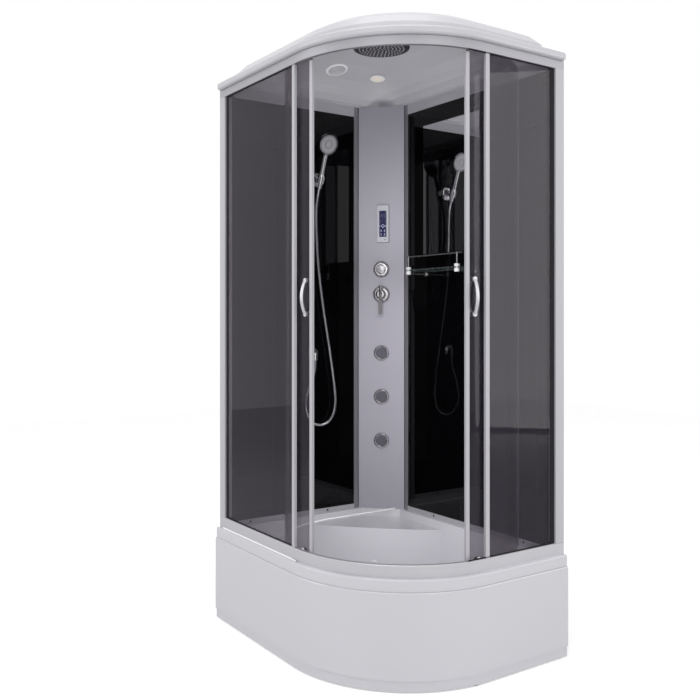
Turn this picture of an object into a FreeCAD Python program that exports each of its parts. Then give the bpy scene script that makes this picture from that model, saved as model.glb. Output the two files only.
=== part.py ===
import FreeCAD, Part
import math
import os

# Steam shower cabin: an asymmetric quadrant cabin for a room corner.
# Frame: origin on the floor under the middle of the cabin, +X to the right,
# +Y towards the room's back wall, +Z up.  The room's corner is at -X, +Y.
# All sizes are in millimetres.

V = FreeCAD.Vector
UP = V(0, 0, 1)
X, Y = V(1, 0, 0), V(0, 1, 0)

# ---------------------------------------------------------------- plan sizes
width = 1000.0                  # along X, the side with the mirror
depth = 800.0                   # along Y, the side with the hand shower
corner_radius = 440.0           # round front corner of the tray
height = 2150.0                 # floor to the top of the roof

# ------------------------------------------------------------- level heights
rim_top_z = 341.0               # top of the tray's rim, which carries the frame
rim_skirt = 37.0                # height of the band below the rim
rail_height = 40.0              # height of the bottom rail
top_rail_z = 1960.0             # lower edge of the top rail
top_rail_height = 46.0          # its upper part is hidden by the roof
floor_z = 155.0                 # shower floor inside the tray
seat_drop = 30.0                # how far the corner seat lies below the rim

# ------------------------------------------------------------------- walls
wall_plane = 25.0               # inner face of the wall panels, from the outline
wall_glass = 5.0
wall_bite = 9.0                 # how deep a wall panel stands in its trims
trim_lip = 3.0                  # how far a trim stands out from the panel's face
trim_wall = 2.85
trim_width = 22.0               # aluminium strip each side of the column
base_trim_height = 18.0
top_trim_height = 40.0
column_leg = 138.5              # the column's face cuts each wall panel's plane this far from their corner
column_wall = 3.0
column_return = 14.0            # folded edge of the column panel

# ------------------------------------------------------------------- frame
frame_inset = 14.0              # outer face of the frame, from the tray's outline
post_width = 40.0
post_depth = 30.0
profile_wall = 1.6              # wall of the aluminium profiles
pane_glass = 5.0
pane_inset = 21.0               # outer face of the fixed panes, from the outline
pane_bite = 10.0                # how deep a pane stands in its groove
groove_gap = 0.3                # clearance round a pane in its groove
left_pane_gap = 22.5            # from the end of the left pane to the start of the arc
right_pane_gap = 8.5            # the same on the right
edge_width = 16.0               # profile on the free edge of a fixed pane
edge_depth = 9.0
track_inset = 29.5              # inner edge of the top rail's running ledge
track_rise = 14.0               # ledge above the rail's lower edge
flange_inset = 52.0             # inner edge of the bottom rail's running flange
flange_height = 6.0
roof_flange_inset = 60.0        # inner edge of the flange that carries the roof

# ------------------------------------------------------------------- doors
door_glass = 5.0
door_inset = 33.0               # outer face of the door glass, from the outline
door_span_deg = 50.0            # arc that one door covers
door_rest_deg = 8.4             # leading edge of each door at rest, from the end of the arc
door_bottom_z = 351.0
door_top_z = 1975.0
leading_width = 13.0            # profile on the leading edge
leading_depth = 9.0
magnet_width = 6.0
magnet_depth = 2.0
roller_angles_deg = (7.0, 16.0)  # top rollers, behind the leading edge
roller_radius = 9.0
roller_width = 6.0
hanger_length_deg = 4.0
axle_radius = 2.0
axle_gap = 0.05
guide_angle_deg = 7.0           # bottom guide roller, behind the leading edge
guide_radius = 7.0
guide_width = 4.8
guide_cap_radius = 11.0
running_gap = 0.3               # between a roller and its track
handle_angle_deg = 4.4          # behind the leading edge
handle_z = 1197.0
handle_spacing = 108.0
handle_rise = 25.0
handle_radius = 5.5

# -------------------------------------------------------------------- tray
rim_width_front = 64.0
rim_width_wall = 45.0
acrylic = 5.0
basin_draft = 16.0
rim_rounding = 4.0
seat_reach = 352.0              # middle of the seat's front edge, from the room's corner
seat_bulge_radius = 2000.0
column_ledge = 10.0             # shelf of the tray in front of the column's foot
apron_wall = 3.5
apron_proud = 4.6               # how far the apron stands out past the rim band
apron_bottom_z = 4.0
apron_gap = 0.5
kick_height = 34.0              # recessed strip along the apron's foot
leg_tube = 25.0
upright_tube = 18.0
frame_edge = 30.0               # middle of the outer frame tubes, from the outline
middle_row_y = 0.0
stud_radius = 6.0
foot_gap = 0.05                 # round the stud in its foot
nut_radius = 11.0
nut_height = 8.0
foot_radius = 24.0
foot_height = 14.0

# ------------------------------------------------------------------- drain
drain_x, drain_y = 120.0, -60.0
drain_hole_radius = 45.0
drain_flange_radius = 55.0
drain_cup_radius = 42.0
drain_cup_depth = 78.0
drain_pipe_radius = 20.0
drain_socket = 6.0              # stub on the cup, up to the outlet's nut
drain_spigot = 30.0             # free end of the outlet, behind its collar
drain_end_y = 90.0
drain_cover_radius = 50.0
drain_cover_height = 9.0

# ---------------------------------------------------------------- fittings
mixer_z = 1228.0
diverter_z = 1332.0
mixer_plate_radius = 34.0
diverter_plate_radius = 32.0
plate_thickness = 8.0
cap_radius = 22.0
cap_length = 30.0
lever_length = 82.0
lever_width = 12.0
lever_thickness = 6.0
knob_radius = 21.0
knob_length = 20.0
jet_heights = {"upper": 985.0, "middle": 804.0, "lower": 622.0}
jet_ring_radius = 31.0
jet_ring_thickness = 7.0
jet_ball_radius = 25.8
jet_ball_gap = 0.4
jet_cup_depth = 30.0
jet_pin_radius = 2.0            # level pins that each nozzle swivels on
inlet_radius = 10.4             # half-inch pipe thread
inlet_length = 16.0             # free thread, from the nut to the end
bezel_width, bezel_height, bezel_thickness = 48.0, 154.0, 9.0
bezel_z = 1520.0
bezel_offset = 7.5              # to the right of the column's middle
screen_width, screen_height = 30.0, 108.0
steam_outlet_z = 174.5
steam_outlet_radius = 17.0
steam_tail_radius = 9.0

# -------------------------------------------------------------- hand shower
socket_at = V(-430.0, 22.0, 1682.0)
shower_lean_deg = 20.0
handset_length = 164.0          # from the hose thread to the middle of the head
handset_bottom = 22.0           # below the middle of the socket
handset_radius = 10.5
head_radius = 43.0
face_radius = 36.5
pivot_back = 26.0               # the cradle's pivot lies this far behind the socket
pivot_radius = 4.0
hose_radius = 6.0
hose_nut_length = 16.0
hose_stand_off = 16.0           # the hose's outlet stands this far off the wall panel
outlet_tail = 22.0              # length of the outlet behind the wall panel's face
service_radius = 6.0            # pipes behind the panels
outlet_y, outlet_z = 14.0, 985.0

# ----------------------------------------------------------- mirror and shelf
mirror_x = (-213.0, 109.0)
mirror_z = (1385.0, 1898.0)
mirror_glass = 4.0
shelf_x = (-212.0, 118.0)
shelf_z = 1313.0
shelf_depth = 112.0
shelf_glass = 6.0
shelf_post_x = (-192.0, 90.0)
shelf_rail_z = 1369.0

# --------------------------------------------------------------------- roof
roof_wall = 4.0
rain_neck_radius = 10.0
roof_top_z = 2134.0             # the rain head's inlet stands above it
roof_lip_z = 1989.0
roof_lip_height = 26.0
roof_overhang = 2.0
rain_radius = 100.0
rain_x, rain_y, rain_z = 10.0, -5.0, 2082.0
speaker_inset, speaker_y = 166.0, 35.0
speaker_radius = 43.0
lamp_inset = 171.0              # from both walls' outlines
lamp_radius = 30.0

# ------------------------------------------------------------- derived values
half_w, half_d = width / 2, depth / 2
arc_x, arc_y = half_w - corner_radius, corner_radius - half_d
rail_top_z = rim_top_z + rail_height
frame_top_z = top_rail_z + top_rail_height
seat_z = rim_top_z - seat_drop
skirt_z = rim_top_z - rim_skirt
base_trim_top_z = rim_top_z + base_trim_height
top_trim_z = frame_top_z - top_trim_height
ledge_z = top_rail_z + track_rise
flange_z = rim_top_z + flange_height
door_outer_radius = corner_radius - door_inset
door_inner_radius = door_outer_radius - door_glass
door_middle_radius = door_outer_radius - door_glass / 2
column_start = wall_plane + column_leg      # along each wall, from the room's corner
trim_start = column_start + groove_gap
boiler_at = V(-half_w + 58.0, half_d - 58.0, 0)
SIDES = {"left": 1, "right": -1}


# ------------------------------------------------------------------- helpers
def plan_wire(inset, z, back=0.0, rounding=0.0):
    """Closed quadrant outline, moved in by inset at the front and by back at the walls.

    The three square corners are rounded where rounding is given.
    """
    x0, x1 = -half_w + back, half_w - inset
    y0, y1 = -half_d + inset, half_d - back
    radius = corner_radius - inset
    mid = V(arc_x + radius * math.sqrt(0.5), arc_y - radius * math.sqrt(0.5), z)
    arc_start, arc_end = V(arc_x, y0, z), V(x1, arc_y, z)
    if not rounding:
        p = [V(x0, y1, z), V(x0, y0, z), arc_start, arc_end, V(x1, y1, z)]
        return Part.Wire([
            Part.makeLine(p[0], p[1]), Part.makeLine(p[1], p[2]),
            Part.Arc(p[2], mid, p[3]).toShape(), Part.makeLine(p[3], p[4]), Part.makeLine(p[4], p[0])])
    r = rounding
    k = r * (1 - math.sqrt(0.5))
    return Part.Wire([
        Part.makeLine(V(x0, y1 - r, z), V(x0, y0 + r, z)),
        Part.Arc(V(x0, y0 + r, z), V(x0 + k, y0 + k, z), V(x0 + r, y0, z)).toShape(),
        Part.makeLine(V(x0 + r, y0, z), arc_start),
        Part.Arc(arc_start, mid, arc_end).toShape(),
        Part.makeLine(arc_end, V(x1, y1 - r, z)),
        Part.Arc(V(x1, y1 - r, z), V(x1 - k, y1 - k, z), V(x1 - r, y1, z)).toShape(),
        Part.makeLine(V(x1 - r, y1, z), V(x0 + r, y1, z)),
        Part.Arc(V(x0 + r, y1, z), V(x0 + k, y1 - k, z), V(x0, y1 - r, z)).toShape()])


def plan_prism(inset, z0, z1, back=0.0, rounding=0.0):
    return Part.Face(plan_wire(inset, z0, back, rounding)).extrude(V(0, 0, z1 - z0))


def front_path(x_start, y_end):
    """Open line round the front: straight, round corner, straight."""
    mid = V(arc_x + corner_radius * math.sqrt(0.5), arc_y - corner_radius * math.sqrt(0.5), 0)
    edges = [Part.makeLine(V(x_start, -half_d, 0), V(arc_x, -half_d, 0)),
             Part.Arc(V(arc_x, -half_d, 0), mid, V(half_w, arc_y, 0)).toShape(),
             Part.makeLine(V(half_w, arc_y, 0), V(half_w, y_end, 0))]
    return Part.Wire(edges)


def sweep_front(section, x_start=-half_w, y_end=half_d):
    """Run an (inset, z) section along the whole front."""
    wire = Part.makePolygon([V(x_start, -half_d + i, z) for i, z in section + section[:1]])
    return front_path(x_start, y_end).makePipeShell([wire], True, False)


def box(x0, x1, y0, y1, z0, z1):
    return Part.makeBox(x1 - x0, y1 - y0, z1 - z0, V(x0, y0, z0))


def prism(outline, z0, z1):
    """Extrude an (x, y) outline upwards."""
    points = [V(x, y, z0) for x, y in outline]
    return Part.Face(Part.makePolygon(points + points[:1])).extrude(V(0, 0, z1 - z0))


def rod(start, direction, length, radius):
    return Part.makeCylinder(radius, length, start, direction)


def turned(outline, start, direction):
    """Turn an (along, radius) outline about the axis that leaves start along direction."""
    closed = list(outline)
    if closed[0][1] > 0:
        closed.insert(0, (closed[0][0], 0.0))
    if closed[-1][1] > 0:
        closed.append((closed[-1][0], 0.0))
    face = Part.Face(Part.makePolygon([V(r, 0, a) for a, r in closed + closed[:1]]))
    solid = face.revolve(V(0, 0, 0), UP, 360)
    solid.Placement = FreeCAD.Placement(start, FreeCAD.Rotation(UP, direction))
    return solid


def hexagon(base, radius, thickness):
    corners = [(base.x + radius * math.cos(k * math.pi / 3), base.y + radius * math.sin(k * math.pi / 3))
               for k in range(6)]
    return prism(corners, base.z, base.z + thickness)


def on_front(angle_deg, radius, z=0.0):
    """Point at an angle round the front arc, counted from the left end of the arc."""
    a = math.radians(angle_deg)
    return V(arc_x + radius * math.sin(a), arc_y - radius * math.cos(a), z)


def outward(angle_deg):
    a = math.radians(angle_deg)
    return V(math.sin(a), -math.cos(a), 0)


def arc_band(r0, r1, z0, z1, angle0, angle1):
    """Piece of a ring about the arc's centre, between two angles."""
    first, last = min(angle0, angle1), max(angle0, angle1)
    corners = [on_front(first, r, z) for r, z in ((r0, z0), (r1, z0), (r1, z1), (r0, z1))]
    face = Part.Face(Part.makePolygon(corners + corners[:1]))
    return face.revolve(V(arc_x, arc_y, 0), UP, last - first)


def pipe_path(points, bend=None):
    """Straight runs joined by tangent arcs; bend fixes the radius, else each arc fills its runs."""
    edges, radii, start = [], [], points[0]
    for before, corner, after in zip(points, points[1:], points[2:]):
        run_in, run_out = corner.sub(before), after.sub(corner)
        turn = run_in.getAngle(run_out)
        radius = bend or 0.45 * min(run_in.Length, run_out.Length) / math.tan(turn / 2)
        cut = radius * math.tan(turn / 2)
        u_in, u_out = V(run_in).normalize(), V(run_out).normalize()
        first, last = corner.sub(u_in * cut), corner.add(u_out * cut)
        inward = V(u_out.sub(u_in)).normalize()
        middle = corner.add(inward * (radius / math.cos(turn / 2) - radius))
        edges.append(Part.makeLine(start, first))
        edges.append(Part.Arc(first, middle, last).toShape())
        radii.append(radius)
        start = last
    edges.append(Part.makeLine(start, points[-1]))
    return Part.Wire(edges), radii


def pipe(points, radius, bend=None):
    path, radii = pipe_path(points, bend)
    section = Part.Wire(Part.makeCircle(radius, points[0], points[1].sub(points[0])))
    return path.makePipeShell([section], True, False), path.Length, radii


def group(pieces):
    return pieces[0] if len(pieces) == 1 else Part.makeCompound(pieces)


def on_wall(side, along, inward):
    """(x, y) on the side wall (1) or back wall (-1): along from the room's corner, inward from the outline."""
    if side == 1:
        return (-half_w + inward, half_d - along)
    return (-half_w + along, half_d - inward)


def wall_prism(side, outline, z0, z1):
    return prism([on_wall(side, along, inward) for along, inward in outline], z0, z1)


def wall_run(side):
    """Length of a wall, from the room's corner to the front."""
    return depth if side == 1 else width


across = V(1, 1, 0).normalize()
facing = V(1, -1, 0).normalize()
column_middle = V(-half_w + wall_plane + column_leg / 2, half_d - wall_plane - column_leg / 2, 0)


def on_column(offset, z, out=0.0):
    """Point on the column's face: offset to the right, height, distance out into the cabin."""
    return column_middle + across * offset + facing * out + UP * z


def column_slab(offset0, offset1, z0, z1, out0, out1):
    """Upright block in the column's own directions."""
    corners = [on_column(o, z0, d) for o, d in ((offset0, out0), (offset1, out0), (offset1, out1), (offset0, out1))]
    return Part.Face(Part.makePolygon(corners + corners[:1])).extrude(V(0, 0, z1 - z0))


def behind_lead(side, angle):
    """Angle round the arc of a point that lies behind a door's leading edge, at rest."""
    place = door_rest_deg - angle
    return place if side == 1 else 90.0 - place


parts = {}


# ---------------------------------------------------------------------- tray
def seat_block(grow, z0, z1):
    """Corner region behind the seat's rounded front edge."""
    centre = V(-half_w, half_d, 0) + facing * (seat_reach - grow - seat_bulge_radius)
    round_front = Part.makeCylinder(seat_bulge_radius, z1 - z0, V(centre.x, centre.y, z0))
    return round_front.common(box(-half_w, half_w, -half_d, half_d, z0, z1))


def basin(grow, top_z):
    """The hollow of the tray, or with grow the outside of its skin."""
    bottom_z = floor_z - grow
    top = plan_wire(rim_width_front - grow, top_z, rim_width_wall - grow)
    low = plan_wire(rim_width_front + basin_draft - grow, bottom_z, rim_width_wall + basin_draft - grow)
    hollow = Part.makeLoft([low, top], True, True)
    column_foot = column_slab(-300, 300, bottom_z - 1, top_z + 1, -200, column_ledge - grow)
    return hollow.cut(seat_block(grow, bottom_z - 1, seat_z - grow)).cut(column_foot)


def make_tray():
    rim = plan_prism(0, skirt_z, rim_top_z)
    front_top = [e for e in rim.Edges if e.BoundBox.ZMin > rim_top_z - 0.1
                 and (e.BoundBox.YMax < half_d - 1) and (e.BoundBox.XMax > -half_w + 1)]
    side_top = [e for e in rim.Edges if e.BoundBox.ZMin > rim_top_z - 0.1 and e.BoundBox.XMin > half_w - 1]
    unique = {e.hashCode(): e for e in front_top + side_top}
    rim = rim.makeFillet(rim_rounding, list(unique.values()))
    rim = rim.cut(plan_prism(acrylic, skirt_z - 1, rim_top_z - acrylic, acrylic))
    tray = rim.fuse(basin(acrylic, rim_top_z - 1)).cut(basin(0, rim_top_z + 2))
    tray = tray.cut(rod(V(drain_x, drain_y, floor_z - 20), UP, 40, drain_hole_radius))
    steam_pipe_hole = rod(V(boiler_at.x, boiler_at.y, rim_top_z - 20), UP, 40, service_radius + 1)
    return tray.cut(steam_hole(steam_tail_radius + 1)).cut(steam_pipe_hole)


def steam_place():
    """Middle of the seat's front wall, low down."""
    return V(-half_w, half_d, 0) + facing * seat_reach + UP * steam_outlet_z


def steam_hole(radius):
    return rod(steam_place() - facing * 20, facing, 40, radius)


parts["tray_shell"] = make_tray()


def make_apron():
    outer, wall = -apron_proud, apron_wall
    top, step = skirt_z - apron_gap, apron_bottom_z + kick_height
    tuck = acrylic + apron_gap
    section = [(outer, step), (outer, top - 3), (outer + 0.9, top - 0.9), (outer + 3, top), (tuck, top), (tuck, top - wall), (outer + wall, top - wall),
               (outer + wall, step + wall), (wall, step + wall), (wall, apron_bottom_z), (0, apron_bottom_z),
               (0, step)]
    return sweep_front(section)


parts["apron_panel"] = make_apron()

frame_top = floor_z - acrylic
frame_low = frame_top - leg_tube
column_x = (-half_w + frame_edge, 0.0, half_w - frame_edge)
row_y = (-half_d + frame_edge, middle_row_y, half_d - frame_edge)
leg_places = [(x, y) for x in column_x for y in row_y if not (x == column_x[2] and y == row_y[0])]


def make_frame():
    """Steel frame under the tray: tubes butted together, with uprights that carry the rim."""
    t, u = leg_tube / 2, upright_tube / 2
    rails = [(column_x[0], column_x[1], row_y[0]), (column_x[0], column_x[2], row_y[1]),
             (column_x[0], column_x[2], row_y[2])]
    cross_rails = [(column_x[0], row_y[0], row_y[1]), (column_x[1], row_y[0], row_y[1]),
                   (column_x[0], row_y[1], row_y[2]), (column_x[1], row_y[1], row_y[2]),
                   (column_x[2], row_y[1], row_y[2])]
    tubes = [box(x0 - t, x1 + t, y - t, y + t, frame_low, frame_top) for x0, x1, y in rails]
    tubes += [box(x - t, x + t, y0 + t, y1 - t, frame_low, frame_top) for x, y0, y1 in cross_rails]
    for x, y in leg_places:
        hole = rod(V(x, y, frame_low - 1), UP, leg_tube, stud_radius + groove_gap)
        tubes = [tube.cut(hole) for tube in tubes]
        if (x, y) != (column_x[1], row_y[1]):
            tubes.append(box(x - u, x + u, y - u, y + u, frame_top, rim_top_z - acrylic))
    return group(tubes)


parts["tray_frame"] = make_frame()


def make_legs():
    """Threaded studs, each with a foot nut and a lock nut under the frame."""
    legs = []
    for x, y in leg_places:
        leg = rod(V(x, y, foot_height / 2), UP, frame_top - 2 - foot_height / 2, stud_radius)
        for z in (foot_height, frame_low - nut_height):
            leg = leg.fuse(hexagon(V(x, y, z), nut_radius, nut_height))
        legs.append(leg)
    return group(legs)


parts["tray_legs"] = make_legs()


def make_feet():
    feet = []
    for x, y in leg_places:
        outline = [(0, foot_radius), (4, foot_radius), (foot_height, nut_radius + 2)]
        foot = turned(outline, V(x, y, 0), UP)
        feet.append(foot.cut(rod(V(x, y, foot_height / 2), UP, foot_height, stud_radius + foot_gap)))
    return group(feet)


parts["foot_pads"] = make_feet()


def make_drain():
    """Trap under the floor: a flanged cup with a short socket, and the outlet that a nut holds to it."""
    outlet_z0 = floor_z - drain_cup_depth + drain_pipe_radius + 4
    joint_y = drain_y + drain_cup_radius + drain_socket
    flange = rod(V(drain_x, drain_y, floor_z), UP, 2, drain_flange_radius)
    cup = rod(V(drain_x, drain_y, floor_z - drain_cup_depth), UP, drain_cup_depth, drain_cup_radius)
    socket = rod(V(drain_x, drain_y, outlet_z0), Y, joint_y - drain_y, drain_pipe_radius)
    hollow = rod(V(drain_x, drain_y, floor_z - drain_cup_depth + 3), UP, drain_cup_depth, drain_cup_radius - 3)
    bore = rod(V(drain_x, drain_y + 5, outlet_z0), Y, 150, drain_pipe_radius - 2)
    vessel = flange.fuse(cup).fuse(socket).cut(hollow).cut(bore)
    pipe = rod(V(drain_x, joint_y, outlet_z0), Y, drain_end_y - joint_y, drain_pipe_radius)
    nut = rod(V(drain_x, joint_y, outlet_z0), Y, 14, drain_pipe_radius + 4)
    collar = rod(V(drain_x, drain_end_y - drain_spigot - 10, outlet_z0), Y, 10, drain_pipe_radius + 4)
    outlet = pipe.fuse(nut).fuse(collar).cut(bore)
    return group([vessel, outlet])


parts["drain_body"] = make_drain()


def make_drain_cover():
    """Domed cap on a skirt that drops into the drain."""
    top = floor_z + 2 + drain_cover_height
    outline = [(top, 0), (top - 0.8, 18), (top - 3.0, 34), (top - 6.0, 45), (floor_z + 3.5, drain_cover_radius),
               (floor_z + 2.3, drain_cover_radius), (floor_z + 2.3, 34), (floor_z - 8, 33), (floor_z - 8, 31),
               (floor_z + 4.3, 31), (floor_z + 4.3, 0)]
    return turned(outline, V(drain_x, drain_y, 0), UP)


parts["drain_cover"] = make_drain_cover()


# --------------------------------------------------------------------- walls
def make_column():
    half = column_leg * math.sqrt(0.5) - 1.0
    panel = column_slab(-half, half, rim_top_z, frame_top_z, -column_wall, 0)
    for end in (-1, 1):
        inner = end * (half - column_wall)
        panel = panel.fuse(column_slab(*sorted((inner, end * half)), rim_top_z, frame_top_z, -column_return, 0))
    for z, radius in ((mixer_z, 24.0), (diverter_z, 20.0)):
        panel = panel.cut(rod(on_column(0, z, -20), facing, 40, radius))
    for z in jet_heights.values():
        panel = panel.cut(rod(on_column(0, z, -20), facing, 40, jet_ball_radius + 2.8))
    screen = column_slab(bezel_offset - 18, bezel_offset + 18, bezel_z - 60, bezel_z + 60, -20, 20)
    return panel.cut(screen)


parts["column_panel"] = make_column()


def make_wall_panel(side):
    start = trim_start + trim_width - wall_bite
    end = wall_run(side) - frame_inset - post_depth + wall_bite
    outline = [(start, wall_plane - wall_glass), (end, wall_plane - wall_glass), (end, wall_plane), (start, wall_plane)]
    panel = wall_prism(side, outline, base_trim_top_z - wall_bite, top_trim_z + wall_bite)
    if side == -1:
        return panel
    return panel.cut(rod(V(-half_w, outlet_y, outlet_z), X, 2 * wall_plane, 9.5))


parts["side_wall_glass"] = make_wall_panel(1)
parts["back_wall_glass"] = make_wall_panel(-1)


def make_column_trim(side):
    """Upright channel that holds the edge of a wall panel beside the column."""
    face, back = wall_plane + trim_lip, wall_plane - wall_glass - trim_wall
    inner, outer = wall_plane - wall_glass - 0.15, wall_plane + 0.15
    mouth, web = trim_start + trim_width, trim_start + trim_width - wall_bite - 1
    outline = [(trim_start, back), (mouth, back), (mouth, inner), (web, inner), (web, outer), (mouth, outer),
               (mouth, face), (trim_start, face)]
    return wall_prism(side, outline, rim_top_z, frame_top_z)


parts["column_trims"] = group([make_column_trim(1), make_column_trim(-1)])


def make_wall_trim(side, z0, z1, opens_up, end_inset):
    """Level channel along the foot or the head of a wall panel."""
    start, end = trim_start + trim_width, wall_run(side) - end_inset
    back, face = wall_plane - wall_glass - trim_wall, wall_plane + trim_lip
    bar = wall_prism(side, [(start, back), (end, back), (end, face), (start, face)], z0, z1)
    slot = [(start - 1, wall_plane - wall_glass - 0.15), (end + 1, wall_plane - wall_glass - 0.15),
            (end + 1, wall_plane + 0.15), (start - 1, wall_plane + 0.15)]
    slot_z = (z1 - wall_bite - 1, z1 + 1) if opens_up else (z0 - 1, z0 + wall_bite + 1)
    return bar.cut(wall_prism(side, slot, *slot_z))


parts["wall_base_trims"] = group([
    make_wall_trim(side, rim_top_z, base_trim_top_z, True, flange_inset) for side in (1, -1)])
parts["wall_top_trims"] = group([
    make_wall_trim(side, top_trim_z, frame_top_z, False, roof_flange_inset) for side in (1, -1)])

wall_face_y = half_d - wall_plane
wall_face_x = -half_w + wall_plane

parts["wall_mirror"] = box(*mirror_x, wall_face_y - mirror_glass, wall_face_y, *mirror_z)


def make_shelf():
    front = wall_face_y - shelf_depth
    plate = box(*shelf_x, front, wall_face_y - 0.5, shelf_z, shelf_z + shelf_glass)
    corners = [e for e in plate.Edges if abs(e.BoundBox.ZLength - shelf_glass) < 0.1 and e.BoundBox.YMax < front + 1]
    plate = plate.makeFillet(18.0, corners)
    for x in shelf_post_x:
        plate = plate.cut(rod(V(x, front + 16, shelf_z - 1), UP, shelf_glass + 2, 5.2))
    return plate


parts["glass_shelf"] = make_shelf()


def make_shelf_hardware():
    """Two wall arms, a clamp post at the end of each, and a guard rail across the posts."""
    y = wall_face_y - shelf_depth + 16
    pieces = []
    for x in shelf_post_x:
        under = shelf_z - 9
        pieces.append(rod(V(x, y, under), Y, wall_face_y - y, 3.7))
        pieces.append(turned([(0, 8.5), (8, 8.5), (12, 4)], V(x, wall_face_y, under), -Y))
        pieces.append(rod(V(x, y, shelf_z - 13), UP, 13, 10))
        pieces.append(rod(V(x, y, shelf_z - 1), UP, shelf_glass + 2, 5))
        pieces.append(rod(V(x, y, shelf_z + shelf_glass), UP, 10, 10))
        pieces.append(rod(V(x, y, shelf_z), UP, shelf_rail_z - shelf_z + 3, 3))
    first, last = shelf_post_x[0] - 8, shelf_x[1]
    pieces.append(rod(V(first, y, shelf_rail_z), X, last - first, 2.5))
    return pieces[0].multiFuse(pieces[1:])


parts["shelf_hardware"] = make_shelf_hardware()


# --------------------------------------------------------------------- frame
def groove(edge_z, into):
    """Groove that holds a fixed pane, as section points, walked inwards from the outside."""
    near, far = pane_inset - groove_gap, pane_inset + pane_glass + groove_gap
    deep = edge_z + into * (pane_bite + 1)
    return [(near, edge_z), (near, deep), (far, deep), (far, edge_z)]


def make_bottom_rail():
    body_inner = track_inset - 0.5
    section = [(frame_inset, rim_top_z), (flange_inset, rim_top_z), (flange_inset, flange_z),
               (body_inner, flange_z), (body_inner, rail_top_z)]
    section += list(reversed(groove(rail_top_z, -1)))
    section += [(frame_inset + 2, rail_top_z), (frame_inset, rail_top_z - 2)]
    chamber = [(frame_inset + profile_wall, rim_top_z + profile_wall), (body_inner - profile_wall, rim_top_z + profile_wall),
               (body_inner - profile_wall, rail_top_z - pane_bite - 1 - profile_wall),
               (frame_inset + profile_wall, rail_top_z - pane_bite - 1 - profile_wall)]
    return sweep_front(section).cut(sweep_front(chamber))


parts["bottom_rail"] = make_bottom_rail()


def make_top_rail():
    roof_wall_z = frame_top_z - 2.5
    section = [(frame_inset, top_rail_z)] + groove(top_rail_z, 1)
    section += [(track_inset, top_rail_z), (track_inset, ledge_z), (frame_inset + 2.5, ledge_z),
                (frame_inset + 2.5, roof_wall_z), (roof_flange_inset, roof_wall_z),
                (roof_flange_inset, frame_top_z), (frame_inset, frame_top_z)]
    return sweep_front(section)


parts["top_rail"] = make_top_rail()


def frame_point(side, along, inset):
    """(x, y) on the frame line: along from the wall end, inset from the outline."""
    if side == 1:
        return (-half_w + along, -half_d + inset)
    return (half_w - inset, half_d - along)


def frame_prism(side, along0, along1, inset0, inset1, z0, z1):
    corners = ((along0, inset0), (along1, inset0), (along1, inset1), (along0, inset1))
    return prism([frame_point(side, a, i) for a, i in corners], z0, z1)


def make_post(side):
    """Corner profile with a groove for the fixed pane and one for the wall panel."""
    z = (rail_top_z, top_rail_z)
    far = frame_inset + post_depth
    post = frame_prism(side, 0, post_width, frame_inset, far, *z)
    w = profile_wall
    wall_near, wall_far = wall_plane - wall_glass - groove_gap, wall_plane + groove_gap
    pane_near, pane_far = pane_inset - groove_gap, pane_inset + pane_glass + groove_gap
    cuts = [frame_prism(side, wall_near, wall_far, far - wall_bite - 1, far + 1, *z),
            frame_prism(side, post_width - pane_bite - 1, post_width + 1, pane_near, pane_far, *z),
            frame_prism(side, w, wall_near - w, frame_inset + w, far - w, *z),
            frame_prism(side, wall_far + w, post_width - w, pane_far + w, far - w, *z)]
    for cut in cuts:
        post = post.cut(cut)
    return post


def pane_end(side):
    """Where a fixed pane stops, along the frame from its wall end."""
    return (arc_x + half_w - left_pane_gap) if side == 1 else (half_d - arc_y - right_pane_gap)


def make_fixed_pane(side):
    start, end = post_width - pane_bite, pane_end(side) - 1.5
    return frame_prism(side, start, end, pane_inset, pane_inset + pane_glass,
                       rail_top_z - pane_bite, top_rail_z + pane_bite)


def make_edge_profile(side):
    middle = pane_inset + pane_glass / 2
    near, far = middle - edge_depth / 2, middle + edge_depth / 2
    end = pane_end(side)
    bar = frame_prism(side, end - edge_width, end, near, far, rail_top_z, top_rail_z)
    slot = frame_prism(side, end - edge_width - 1, end - 1.2, pane_inset - 0.15, pane_inset + pane_glass + 0.15,
                       rail_top_z - 1, top_rail_z + 1)
    return bar.cut(slot)


for name, side in SIDES.items():
    parts[name + "_post"] = make_post(side)
    parts[name + "_fixed_glass"] = make_fixed_pane(side)
parts["pane_edge_profiles"] = group([make_edge_profile(side) for side in (1, -1)])


# --------------------------------------------------------------------- doors
def lead_degrees(length):
    return math.degrees(length / door_middle_radius)


def make_door_glass(side):
    start = behind_lead(side, lead_degrees(4.0))
    end = behind_lead(side, door_span_deg)
    glass = arc_band(door_inner_radius, door_outer_radius, door_bottom_z, door_top_z, start, end)
    holes = [rod(on_front(behind_lead(side, guide_angle_deg), door_inner_radius - 5, guide_axis_z + 20),
                 outward(behind_lead(side, guide_angle_deg)), 20, 4.0)]
    place = behind_lead(side, handle_angle_deg)
    for end_z in (-1, 1):
        holes.append(rod(on_front(place, door_inner_radius - 5, handle_z + end_z * handle_spacing / 2),
                         outward(place), 20, 3.2))
    for hole in holes:
        glass = glass.cut(hole)
    return glass


guide_axis_z = flange_z + guide_radius + running_gap
roller_axis_z = ledge_z + roller_radius + running_gap


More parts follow.
